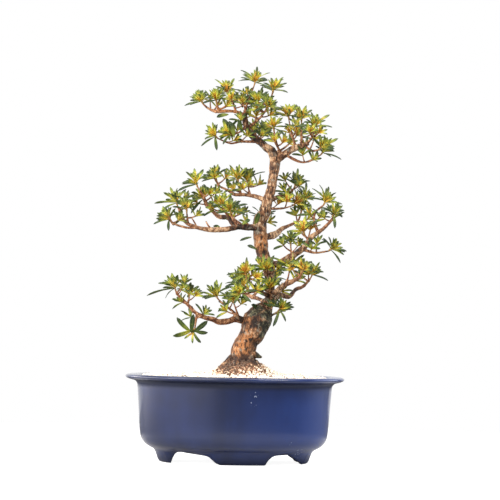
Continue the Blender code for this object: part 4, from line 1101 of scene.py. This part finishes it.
def tube_grid(route, sides):
    """Rings round a route of (x, y, z, radius): centres, radii, ways out and ways along.

    A ring's point is c + r (n cos t + m sin t), where n and m stand square to the route and
    n cos t + m sin t is its way out.
    """
    centre, radius = route[:, :3], route[:, 3]
    along = np.gradient(centre, axis=0)
    along /= np.linalg.norm(along, axis=1, keepdims=True)
    level = np.eye(3)[np.abs(along).mean(0).argmin()]
    across = np.cross(along, level)
    across /= np.linalg.norm(across, axis=1, keepdims=True)
    third = np.cross(along, across)
    angle = full_turn(sides)
    out = (across[:, None] * np.cos(angle)[:, None] + third[:, None] * np.sin(angle)[:, None])
    return centre, radius, out, along


def patch_share(points, name):
    """How deep each point lies in the patches of a name: the largest exp(-(d / reach)^2)."""
    places = place_all(PATCHES[name])
    far = np.linalg.norm(points[:, None] - places[None, :, :3], axis=2)
    return np.exp(-(far / places[:, 3]) ** 2).max(1)


def add_bar(pile, route, sides, swell=None, patched=False, **numbers):
    """A round bar along a route, its ends closed to poles; swell(points, radius) adds mm."""
    centre, radius, out, along = tube_grid(route, sides)
    surface = centre[:, None] + out * radius[:, None, None]
    extra = np.zeros(surface.shape[:2]) if swell is None else swell(surface, radius[:, None])
    surface = surface + out * extra[..., None]
    verts = np.vstack([surface.reshape(-1, 3), centre[0] - along[0] * radius[0] * END_DOMES[0],
                       centre[-1] + along[-1] * radius[-1] * END_DOMES[1]])
    relief = np.append((extra / (np.abs(extra).max() + 1e-6)).ravel() * 0.5 + 0.5, [0.5, 0.5])
    patches = {name: patch_share(verts, name) for name in PATCHES} if patched else {}
    pile.add(verts, closed_faces(len(route), sides), relief=relief, **patches, **numbers)


# Pieces

def oval_points(inset, angle):
    """x and y on the pot's oval: a |cos t|^(2/p) and b |sin t|^(2/p), signed, inset."""
    c, s = np.cos(angle), np.sin(angle)
    return (np.copysign(np.abs(c) ** (2 / OVAL), c) * (LIP_X - inset),
            np.copysign(np.abs(s) ** (2 / OVAL), s) * (LIP_Y - inset))


def split_long(points, longest):
    """The same line with points added, so that none of its parts is longer."""
    parts = [np.linspace(a, b, math.ceil(np.linalg.norm(b - a) / longest), endpoint=False)
             for a, b in zip(points, points[1:])]
    return np.vstack(parts + [points[-1:]])


def curve_height(along, gap):
    """Height over 0 of a cloud-shaped gap, given as (along, z), at each place along it."""
    bend = smooth_route(np.column_stack([gap, gap]).astype(float), 1.0)
    order = np.argsort(bend[:, 0])
    return np.interp(along, bend[order, 0], np.maximum(bend[order, 1], 0), left=0, right=0)


def foot_lift(x, y):
    """How far the foot ring is cut away from below at (x, y), in mm."""
    def height(along, gaps):
        return np.where(x < 0, curve_height(along, gaps[-1]), curve_height(along, gaps[1]))

    corner = np.where(np.abs(x) > CORNER_X, height(np.abs(y), CORNER_GAPS), 0)
    return np.maximum(height(np.abs(x), FOOT_GAPS), corner)


def build_pot(settings):
    """The pot as one surface: its profile carried round the oval, the foot ring cut away.

    A point is (x(inset, t), y(inset, t), z). Where the foot ring is cut, z of every point
    below the ring's top is squeezed towards the top by the depth of the cut.
    """
    sides = settings.sides
    profile = split_long(np.array(POT_PROFILE, float), PROFILE_PART)
    profile = smooth_route(np.hstack([profile, 0 * profile]), PROFILE_STEP)[:, :2]
    for _ in range(PROFILE_SMOOTHING):
        profile[1:-1] = (profile[:-2] + 2 * profile[1:-1] + profile[2:]) / 4
    angle = full_turn(sides)
    x, y = oval_points(profile[:, :1], angle)
    z = np.broadcast_to(profile[:, 1:], x.shape).copy()
    outer = np.argmax(profile[:, 0] < 1.0)
    foot = np.arange(len(profile)) > outer
    cut = foot_lift(x, y)
    low = foot[:, None] & (z < FOOT_TOP_Z)
    z = np.where(low, np.maximum(z, FOOT_TOP_Z - (FOOT_TOP_Z - z) * (1 - cut / FOOT_TOP_Z)), z)
    z = np.where(low, np.maximum(z, cut * LEAST_CUT), z)
    wobble = value_noise(np.stack([x, y, z], -1), WOBBLE_SIZE) - 0.5
    x, y = x * (1 + WOBBLE * wobble), y * (1 + WOBBLE * wobble)
    verts = np.stack([x, y, z], -1).reshape(-1, 3)
    poles = [(0, 0, profile[0, 1]), (0, 0, profile[-1, 1])]
    pile = Pile()
    pile.add(np.vstack([verts, poles]),
             [part[:, ::-1] for part in closed_faces(len(profile), sides)])
    pot = pile.make("glazed_pot", [glaze_material(tuple(settings.deep), tuple(settings.bright))])
    drill_drains(pot)
    return pot


def drill_drains(pot):
    """Two round drainage holes through the pot's floor."""
    holes = bpy.data.collections.new("drains")
    bpy.context.scene.collection.children.link(holes)
    for side in (-1, 1):
        pile = Pile()
        route = np.array([(side * DRAIN_X, 0, FLOOR_TOP_Z + z, DRAIN_RADIUS)
                          for z in DRAIN_SPAN], float)
        add_bar(pile, route, DRAIN_SIDES)
        holes.objects.link(pile.make(f"drain_{side}", []))
    boolean = pot.modifiers.new("drains", "BOOLEAN")
    boolean.operation, boolean.operand_type = "DIFFERENCE", "COLLECTION"
    boolean.collection, boolean.solver = holes, "MANIFOLD"
    pot.data = bpy.data.meshes.new_from_object(
        pot.evaluated_get(bpy.context.evaluated_depsgraph_get()))
    pot.modifiers.remove(boolean)
    for hole in list(holes.objects):
        bpy.data.objects.remove(hole)
    bpy.data.collections.remove(holes)


def ground(x, y, reach):
    """Height of the soil: a mound under the trunk, a shoulder at the wall, and lumps.

    The mound is H exp(-(d / R)^p), with d from its middle and R longer to the right; reach
    is 1 at the wall and 0 in the middle, the shoulder rises by 1 - reach^6, and the lumps
    fade to the wall by 1 - reach^4.
    """
    far = np.hypot(x - GRAVEL_X, y) + 1e-6
    radius = GRAVEL_RADIUS + GRAVEL_SKEW * (x - GRAVEL_X) / far
    mound = GRAVEL_RISE * np.exp(-(far / radius) ** GRAVEL_POWER)
    shoulder = SOIL_SHOULDER * (1 - reach ** 6)
    lumps = value_noise(np.stack([x, y, 0 * x], -1), LUMP_SIZE) - 0.5
    return SOIL_EDGE_Z + shoulder + mound + lumps * LUMP_RISE * (1 - reach ** 4)


def build_soil():
    """The soil: rings of the oval, shrinking to the middle, raised to the ground's height."""
    sides, rows = SOIL_SIDES, SOIL_ROWS
    angle = full_turn(sides)
    reach = np.linspace(1, SMALLEST_RING, rows)[:, None]
    edge_x, edge_y = oval_points(SOIL_INSET, angle)
    x, y = edge_x * reach, edge_y * reach
    top = np.stack([x, y, ground(x, y, reach + 0 * x)], -1)
    wall = []
    for inset, z in POT_PROFILE[:4]:
        a, b = oval_points(inset + SOIL_GAP, angle)
        wall.append(np.stack([a, b, np.full(sides, z + SOIL_GAP)], -1))
    verts = np.vstack([np.array(wall).reshape(-1, 3), top.reshape(-1, 3)])
    poles = [(0, 0, FLOOR_TOP_Z + SOIL_GAP), (0, 0, top[-1, :, 2].mean())]
    pile = Pile()
    pile.add(np.vstack([verts, poles]), closed_faces(rows + len(wall), sides))
    return pile.make("soil_mound", [soil_material()])


def icosahedron():
    """Corners and faces of a regular solid of 20 triangles."""
    g = (1 + 5 ** 0.5) / 2
    corners = np.array([(-1, g, 0), (1, g, 0), (-1, -g, 0), (1, -g, 0), (0, -1, g), (0, 1, g),
                        (0, -1, -g), (0, 1, -g), (g, 0, -1), (g, 0, 1), (-g, 0, -1),
                        (-g, 0, 1)]) / math.sqrt(1 + g * g)
    faces = np.array([(0, 11, 5), (0, 5, 1), (0, 1, 7), (0, 7, 10), (0, 10, 11), (1, 5, 9),
                      (5, 11, 4), (11, 10, 2), (10, 7, 6), (7, 1, 8), (3, 9, 4), (3, 4, 2),
                      (3, 2, 6), (3, 6, 8), (3, 8, 9), (4, 9, 5), (2, 4, 11), (6, 2, 10),
                      (8, 6, 7), (9, 8, 1)])
    return corners, faces


def build_grains(settings):
    """Angular grains all over the soil: jittered 20-sided solids, squashed and turned."""
    draw = np.random.default_rng(41)
    count = settings.grains
    reach = np.sqrt(draw.uniform(0, 1, count))
    angle = draw.uniform(0, 2 * math.pi, count)
    edge_x, edge_y = oval_points(SOIL_INSET + GRAIN_INSET, angle)
    x, y = edge_x * reach, edge_y * reach
    size = draw.uniform(*GRAIN_SIZES, count) * settings.grain_size / MM / 2
    size *= np.where(draw.random(count) < BIG_GRAINS, BIG_GRAIN, 1.0)
    z = ground(x, y, reach) + size * draw.uniform(*GRAIN_STANDING, count)
    corners, faces = icosahedron()
    shape = corners * draw.uniform(*GRAIN_CORNERS, (count, len(corners), 1))
    shape = shape * draw.uniform(*GRAIN_STRETCH, (count, 1, 3))
    turn = draw.uniform(0, 2 * math.pi, count)
    c, s = np.cos(turn)[:, None], np.sin(turn)[:, None]
    shape = np.stack([shape[..., 0] * c - shape[..., 1] * s,
                      shape[..., 0] * s + shape[..., 1] * c, shape[..., 2]], -1)
    verts = shape * size[:, None, None] + np.stack([x, y, z], -1)[:, None]
    from_trunk = np.hypot(x - TRUNK_FOOT_X, y)
    beside = np.hypot(x - RED_SPOT[0], y - RED_SPOT[1])
    red = np.exp(-(from_trunk / RED_REACH[0]) ** 2) * 0.85
    red += np.exp(-(beside / RED_REACH[1]) ** 2)
    red += (draw.random(count) < 0.07) * 0.7
    pale = 0.25 + 0.3 * np.clip(from_trunk / 60.0, 0, 1)
    tone = np.clip(draw.uniform(0, 1, count) * (1 - pale) + pale - red, 0, 1)
    each = len(corners)
    pile = Pile()
    pile.add(verts.reshape(-1, 3), [faces_of_copies(faces, count, each)],
             tone=np.repeat(tone, each))
    obj = pile.make("soil_grains", [grain_material()])
    obj.data.shade_flat()
    return obj


def bark_swell(lump, flake, depth):
    """Relief of bark in mm: wide lumps, and flakes drawn out along the stem."""
    def swell(points, radius):
        squeezed = points * BARK_SQUEEZE
        lumps = value_noise(points, *BARK_NOISE["lumps"]) - 0.5
        small = value_noise(points, *BARK_NOISE["small"]) - 0.5
        ridges = 1 - np.abs(2 * value_noise(squeezed, *BARK_NOISE["ridges"]) - 1)
        fine = value_noise(squeezed, *BARK_NOISE["fine"]) - 0.5
        return (radius * (lump * lumps + 0.5 * lump * small)
                + flake * (ridges - 0.6) + 0.5 * flake * fine) * depth
    return swell


def build_wood(settings):
    """Trunk, roots, branches, stubs and twigs as bars with bark relief, in one mesh.

    A branch with the radius r is (r - 1) / 3.5 old, from 0 to 1.
    """
    pile = Pile()

    def add(kind, points, age=None):
        add_bar(pile, points, kind.sides, bark_swell(kind.lump, kind.flake, settings.relief),
                True, age=kind.age if age is None else age)

    add(TRUNK_KIND, smooth_route(place_all(TRUNK), TRUNK_KIND.step))
    for route in ROOTS.values():
        add(ROOT_KIND, smooth_route(place_all(route), ROOT_KIND.step))
    for name, route in {**BRANCHES, **STUBS}.items():
        kind = THICK_BRANCH if route[0][3] > THICK_RADIUS else THIN_BRANCH
        points = smooth_route(place_all(route), kind.step)
        thick = np.clip((points[:, 3] - 1.0) / 3.5, 0, 1)
        age = np.append(np.repeat(thick, kind.sides), [thick[0], thick[-1]])
        add(kind, points, age * SMOOTH_AGE if name in SMOOTH_BRANCHES else age)
    for spray, shoots in zip(SPRAYS, side_shoots(settings.side_shoots)):
        points = smooth_route(place_all(twig_route(spray)), TWIG_KIND.step)
        points[:, 3] *= np.linspace(TWIG_FOOT, 1.0, len(points))
        add(TWIG_KIND, points)
        for shoot in shoots:
            points = np.array([(*point, radius) for point, radius in zip(shoot, SHOOT_RADII)])
            add(SIDE_SHOOT, smooth_route(points, SIDE_SHOOT.step))
    for route in BARE_TWIGS:
        add(BARE_TWIG, smooth_route(place_all(route), BARE_TWIG.step))
    return pile.make("bark_and_twigs", [bark_material()])


def leaf_blades(leaves, droop):
    """Grids of points for leaves given as arrays of root, tip, half width and facing.

    With u from foot to tip and v from edge to edge, the midrib is root + (tip - root) u,
    raised by 0.8 sin(pi u) L / 18 and lowered by droop u^3. The half width w is
    h (u + 0.03)^0.6 (1.02 - u^3.4)^0.6 with the widest place scaled to h. The blade folds up
    to its edges by 0.26 |v| w, and its edges wave by 0.14 v sin(9 u + 40 h).
    """
    root, tip, half, facing = (np.array([leaf[i] for leaf in leaves], float) for i in range(4))
    roll = np.modf(half * 37.7 + root[:, 0])[0]
    facing = facing + np.stack([0.3 * roll, np.where(roll > -0.3, -0.95, 0.8), 0 * roll], -1)
    u = LEAF_STATIONS[None, :, None]
    v = np.linspace(-1, 1, LEAF_ACROSS)[None, None, :]
    run = tip - root
    length = np.linalg.norm(run, axis=1)
    along = run / length[:, None]
    side = np.cross(along, facing)
    level = np.linalg.norm(side, axis=1) < LEAST_SIDE
    side[level] = np.cross(along[level], SPARE_FACING)
    side /= np.linalg.norm(side, axis=1, keepdims=True)
    above = np.cross(side, along)
    shape = (u + 0.03) ** 0.6 * (1.02 - u ** 3.4) ** 0.6
    width = half[:, None, None] * shape / shape.max()
    wave = 0.14 * np.sin(9 * u + 40 * half[:, None, None]) * v
    rise = (0.8 * np.sin(math.pi * u) * (length / 18)[:, None, None]
            - droop * u ** 3 + 0.26 * np.abs(v) * width + wave)
    middle = root[:, None] + along[:, None] * (length[:, None] * u[0, :, 0])[..., None]
    points = (middle[:, :, None] + side[:, None, None] * (width * v)[..., None]
              + above[:, None, None] * rise[..., None])
    return points


def add_leaves(pile, leaves, gold, tone, droop=0.5):
    """Leaves of one shape, each with its own gold and tone."""
    points = leaf_blades(leaves, droop)
    count, rows, across = points.shape[:3]
    each = rows * across
    faces = faces_of_copies(grid_quads(rows, across, False), count, each)
    grid = np.stack(np.meshgrid(LEAF_STATIONS, np.linspace(0, 1, across), indexing="ij"), -1)
    pile.add(points.reshape(-1, 3), [faces], np.tile(grid.reshape(-1, 2), (count, 1)),
             gold=np.repeat(gold, each), tone=np.repeat(tone, each))


def side_shoots(count):
    """Short side shoots of each twig: (foot, middle, tip) in mm, in the gaps of the foliage.

    Of a few shoots drawn for a twig the one stays whose tip is farthest from all the others'.
    """
    hearts = []
    for spray in SPRAYS:
        start, axis = core_points(spray)
        hearts.append(start + axis * HEART_HEIGHT)
    stems = [(Vector(row[:3]), row[3]) for row in smooth_route(place_all(TRUNK), 5.0)]
    shoots = []
    for index, spray in enumerate(SPRAYS):
        draw = random.Random(53 * index + 3)
        route = smooth_route(place_all(twig_route(spray)), 1.5)
        mine = []
        for _ in range(count):
            best = None
            for _ in range(SHOOT_TRIES):
                foot = Vector(route[int(draw.uniform(*SHOOT_SPAN) * (len(route) - 1))][:3])
                turn, rise = draw.uniform(0, 2 * math.pi), math.radians(draw.uniform(*SHOOT_RISE))
                way = Vector((math.cos(turn), SHOOT_DEPTH * math.sin(turn), math.tan(rise)))
                way.normalize()
                tip = foot + way * draw.uniform(*SHOOT_LENGTH)
                heart = tip + way * HEART_PAST_TIP
                room = min(min((heart - other).length for other in hearts), OPEN_ROOM)
                room = min([room] + [(heart - stem).length - radius - STEM_CLEAR
                                     for stem, radius in stems])
                if best is None or room > best[0]:
                    best = (room, foot, (foot + tip) / 2 - Vector(SHOOT_SAG), tip)
            if best[0] > LEAST_ROOM:
                mine.append(best[1:])
                hearts.append(best[3] + (best[3] - best[1]).normalized() * HEART_PAST_TIP)
        shoots.append(mine)
    return shoots


def whorl(kind, start, axis, spare, shares, draw):
    """Small leaves round an axis, each turned by the golden angle, steeper further up."""
    flat = axis.cross(Vector(spare)).normalized()
    leaves = []
    for i, share in enumerate(shares):
        turn = GOLDEN_ANGLE * i + draw.uniform(*kind.turn_sway)
        rise = math.radians(kind.rise[0] + kind.rise[1] * share + draw.uniform(*kind.rise_sway))
        root = start + axis * (kind.root[0] + kind.root[1] * share)
        size = kind.size[0] + kind.size[1] * share + draw.uniform(*kind.size_sway)
        leaves.append(Leaf(root, root + leaf_way(axis, flat, turn, rise) * size,
                           kind.half[0] + kind.half[1] * share, axis, None))
    return leaves


def shoot_leaves(foot, tip, draw, count):
    """The few leaves at the end of a side shoot."""
    axis = ((tip - foot).normalized() + Vector((0, 0, 0.7))).normalized()
    shares = [i / (count - 1) for i in range(count)]
    return whorl(SHOOT_WHORL, tip, axis, (0.1, 1, 0), shares, draw)


def young_leaves(spray, draw, count):
    """Small upright leaves round the tip of a spray's own shoot."""
    start, axis = core_points(spray)
    shares = [(i + 0.5) / count for i in range(count)]
    return whorl(YOUNG_WHORL, start, axis, (0, 1, 0.1), shares, draw)


def thicken(obj, thickness):
    """Give blades a thickness below, with the second material on the underside."""
    thick = obj.modifiers.new("thickness", "SOLIDIFY")
    thick.thickness = thickness
    thick.offset = -1.0
    thick.material_offset = 1


def build_spray(index, spray, blades, shoots, settings, finishes):
    """One spray: its shoot, its leaves as planned, and young leaves at its heart."""
    draw = random.Random(131 * index + 9)
    axis = axis_of(spray)
    pile = Pile()
    quiet = spray.name in QUIET_SPRAYS
    if blades:
        gold = []
        for leaf in blades:
            upright = (leaf.tip - leaf.root).normalized().dot(axis)
            gold.append(max(0.0, spray.gold * (0.15 + 0.6 * max(0, upright))
                            + 0.28 * max(0, upright) + draw.uniform(-0.14, 0.12)))
        tone = [draw.random() * (QUIET_TONE if quiet else 1.0) for _ in blades]
        slimness = QUIET_SLIMNESS if quiet else LEAF_SLIMNESS
        slim = [leaf._replace(half_width=leaf.half_width * slimness) for leaf in blades]
        add_leaves(pile, slim, gold, tone)
    young = young_leaves(spray, draw, QUIET_YOUNG if quiet else settings.young)
    gold = [min(1.0, 0.34 + 0.45 * spray.gold + 0.25 * i / len(young) + draw.uniform(-0.15, 0.15))
            for i in range(len(young))]
    add_leaves(pile, young, gold, [draw.random() * 0.5 for _ in young], 0.0)
    for foot, _, tip in shoots:
        leaves = shoot_leaves(foot, tip, draw, settings.shoot_leaves)
        gold = [max(0.0, 0.10 + 0.45 * spray.gold + 0.3 * i / len(leaves)
                    + draw.uniform(-0.16, 0.12)) for i in range(len(leaves))]
        add_leaves(pile, leaves, gold, [draw.random() for _ in leaves])
    obj = pile.make("leaves_" + spray.name, finishes)
    thicken(obj, settings.thickness)
    return obj


def build_shoots():
    """The short green shoots that the leaves grow on, thickest near the foot."""
    pile = Pile()
    for spray in SPRAYS:
        start, axis = core_points(spray)
        route = [(*place(*spray.twig[-1]), TWIG_END_RADIUS)]
        route += [(*(start + axis * height), radius) for height, radius in SHOOT_PROFILE]
        add_bar(pile, smooth_route(route, GREEN_SHOOT.step), GREEN_SHOOT.sides,
                bark_swell(GREEN_SHOOT.lump, GREEN_SHOOT.flake, 1.0))
    return pile.make("leafy_shoots", [shoot_material()])


def loose_leaves(settings, finishes):
    """Single leaves that grow straight from twigs and branches between the sprays."""
    draw = random.Random(77)
    pile = Pile()
    leaves, gold = [], []
    for (x, y, z), (dx, dy, dz), half, young in LOOSE_LEAVES:
        root, tip = place(x, y, z), place(x + dx, y + dy, z + dz)
        leaves.append(Leaf(root, tip, half, Vector((0.05, -0.35, 1)), None))
        gold.append(young)
    add_leaves(pile, leaves, gold, [draw.random() for _ in leaves])
    obj = pile.make("single_leaves", finishes)
    thicken(obj, settings.thickness)
    return obj


# Settings

def length_setting(name, text, default):
    """A length in metres."""
    return FloatProperty(name=name, description=text, default=default, min=0.0,
                         subtype="DISTANCE", unit="LENGTH")


def count_setting(name, text, default, least):
    """A whole number."""
    return IntProperty(name=name, description=text, default=default, min=least)


def colour_setting(name, text, default):
    """A colour."""
    return FloatVectorProperty(name=name, description=text, default=default, size=3,
                               min=0.0, max=1.0, subtype="COLOR")


class PotSettings(bpy.types.PropertyGroup):
    deep: colour_setting("Deep glaze", "Glaze where it lies thick", (0.0035, 0.009, 0.040))
    # the bright glaze also gives the painted light at the pot's brighter end
    bright: colour_setting("Bright glaze", "Glaze where it breaks to a paler blue",
                           (0.010, 0.034, 0.170))
    sides: count_setting("Sides", "Points round the oval", 320, 24)


class SoilSettings(bpy.types.PropertyGroup):
    grains: count_setting("Grains", "Number of grains", 4200, 1)
    grain_size: length_setting("Grain size", "Size of a usual grain", 0.0031)


class WoodSettings(bpy.types.PropertyGroup):
    side_shoots: count_setting("Side shoots", "Short shoots of each twig", 2, 0)
    relief: FloatProperty(name="Relief", description="Depth of the bark, 1 as modelled",
                          default=1.0, min=0.0)


class LeafSettings(bpy.types.PropertyGroup):
    young: count_setting("Young leaves", "At the heart of a spray", 8, 1)
    more: count_setting("More leaves", "Beyond those of the solids", 11, 0)
    shoot_leaves: count_setting("Leaves of a side shoot", "At its end", 7, 2)
    thickness: length_setting("Thickness", "Thickness of a blade", 0.00032)


class StageSettings(bpy.types.PropertyGroup):
    near: colour_setting("Floor near", "Colour of the studio floor by the pot", (0.5, 0.5, 0.5))
    far: colour_setting("Floor far", "Its colour far from the pot", (0.12, 0.12, 0.12))
    glow: FloatProperty(name="Floor glow", description="Lifts the floor to white", default=0.93)
    key: FloatProperty(name="Key light", description="Power of the main light", default=40.0,
                       unit="POWER")
    world: FloatProperty(name="Studio", description="Brightness of the white studio",
                         default=0.25)


SETTINGS = {"bonsai_pot": PotSettings, "bonsai_soil": SoilSettings, "bonsai_wood": WoodSettings,
            "bonsai_leaves": LeafSettings, "bonsai_stage": StageSettings}


# Operators

class BONSAI_OT_pot(bpy.types.Operator):
    """Make the glazed pot"""
    bl_idname = "bonsai.pot"
    bl_label = "Pot"

    def execute(self, context):
        pot = build_pot(context.scene.bonsai_pot)
        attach(pot, "root")
        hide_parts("pot")
        return {"FINISHED"}


class BONSAI_OT_soil(bpy.types.Operator):
    """Make the soil and the grains on it"""
    bl_idname = "bonsai.soil"
    bl_label = "Soil"

    def execute(self, context):
        soil = build_soil()
        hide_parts("soil")
        grains = build_grains(context.scene.bonsai_soil)
        for piece in (soil, grains):
            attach(piece, "root")
        return {"FINISHED"}


class BONSAI_OT_wood(bpy.types.Operator):
    """Make the trunk, its roots, branches and twigs"""
    bl_idname = "bonsai.wood"
    bl_label = "Wood"

    def execute(self, context):
        wood = build_wood(context.scene.bonsai_wood)
        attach(wood, "root")
        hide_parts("wood")
        return {"FINISHED"}


class BONSAI_OT_leaves(bpy.types.Operator):
    """Make the sprays of leaves, their shoots and the single leaves"""
    bl_idname = "bonsai.leaves"
    bl_label = "Leaves"

    def execute(self, context):
        settings = context.scene.bonsai_leaves
        finishes = [leaf_material("leaf", False), leaf_material("leaf_underside", True)]
        shoots = side_shoots(context.scene.bonsai_wood.side_shoots)
        for index, (spray, blades) in enumerate(zip(SPRAYS, plan_leaves(settings.more))):
            obj = build_spray(index, spray, blades, shoots[index], settings, finishes)
            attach(obj, "root")
            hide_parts("spray_" + spray.name)
        shoots = build_shoots()
        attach(shoots, "root")
        singles = loose_leaves(settings, finishes)
        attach(singles, "root")
        return {"FINISHED"}


class BONSAI_OT_stage(bpy.types.Operator):
    """Make the floor, the lights, the studio and the camera"""
    bl_idname = "bonsai.stage"
    bl_label = "Stage"

    def execute(self, context):
        settings = context.scene.bonsai_stage
        scene = context.scene
        bpy.ops.mesh.primitive_circle_add(vertices=96, radius=FLOOR_RADIUS, fill_type="NGON")
        floor = context.object
        floor.name = "studio_floor"
        floor.data.materials.append(
            floor_material(tuple(settings.near), tuple(settings.far), settings.glow))
        for name, (at, width, height, share, tint) in LIGHTS.items():
            add_light(name, at, width, height, settings.key * share, tint)
        scene.world = studio_world(settings.world)
        scene.view_settings.view_transform = "Standard"
        scene.view_settings.look = "None"
        add_camera(scene)
        return {"FINISHED"}


def studio_world(strength):
    """A studio that is white to the eye and lights the object with a softer share of it."""
    world = bpy.data.worlds.new("studio")
    world.use_nodes = True
    tree = world.node_tree
    path = tree.nodes.new("ShaderNodeLightPath")
    share = tree.nodes.new("ShaderNodeMapRange")
    share.inputs["To Min"].default_value = strength
    share.inputs["To Max"].default_value = 1.0
    tree.links.new(path.outputs["Is Camera Ray"], share.inputs["Value"])
    back = tree.nodes["Background"]
    back.inputs[0].default_value = (*WHITE, 1.0)
    tree.links.new(share.outputs[0], back.inputs[1])
    return world


def add_light(name, at, width, height, power, tint):
    """A soft light panel that looks at the middle of the tree."""
    light = bpy.data.lights.new(name, "AREA")
    light.shape, light.size, light.size_y = "RECTANGLE", width, height
    light.energy, light.color = power, tint
    obj = bpy.data.objects.new(name, light)
    obj.location = at
    look = Vector(LIGHTS_AIM) - obj.location
    obj.rotation_euler = look.to_track_quat("-Z", "Y").to_euler()
    bpy.context.scene.collection.objects.link(obj)


def add_camera(scene):
    """The camera at the photographed angle: a little left of the front, rolled with the tree."""
    camera = bpy.data.cameras.new("camera")
    camera.sensor_width = SENSOR_WIDTH
    camera.lens = SENSOR_WIDTH * VIEW_DISTANCE / FRAME_WIDTH
    obj = bpy.data.objects.new("camera", camera)
    turn = Vector((math.cos(TURN), math.sin(TURN), 0))
    away = Vector((-math.sin(TURN), math.cos(TURN), 0))
    aim = (turn * AIM_X + Vector((0, 0, AIM_Z))) * MM
    eye = aim - away * VIEW_DISTANCE * MM
    eye.z = EYE_Z * MM
    obj.location = eye
    look = (aim - eye).to_track_quat("-Z", "Y").to_matrix().to_4x4()
    roll = Matrix.Rotation(ROLL, 4, "Z")
    obj.matrix_world = Matrix.Translation(eye) @ look @ roll
    scene.collection.objects.link(obj)
    scene.camera = obj


class BONSAI_PT_panel(bpy.types.Panel):
    """Sizes and colours of the bonsai, and its pieces"""
    bl_label = "Bonsai"
    bl_idname = "BONSAI_PT_panel"
    bl_space_type = "VIEW_3D"
    bl_region_type = "UI"
    bl_category = "Bonsai"

    def draw(self, context):
        for name, group in SETTINGS.items():
            box = self.layout.box()
            for key in group.__annotations__:
                box.prop(getattr(context.scene, name), key)
            box.operator(name.replace("_", "."))


CLASSES = (*SETTINGS.values(), BONSAI_OT_pot, BONSAI_OT_soil, BONSAI_OT_wood,
           BONSAI_OT_leaves, BONSAI_OT_stage, BONSAI_PT_panel)


def register():
    for cls in CLASSES:
        bpy.utils.register_class(cls)
    for name, group in SETTINGS.items():
        setattr(bpy.types.Scene, name, PointerProperty(type=group))


def unregister():
    for name in SETTINGS:
        delattr(bpy.types.Scene, name)
    for cls in reversed(CLASSES):
        bpy.utils.unregister_class(cls)


def main():
    register()
    for name in SETTINGS:
        getattr(bpy.ops.bonsai, name.split("_")[1])()


if __name__ == "__main__":
    main()
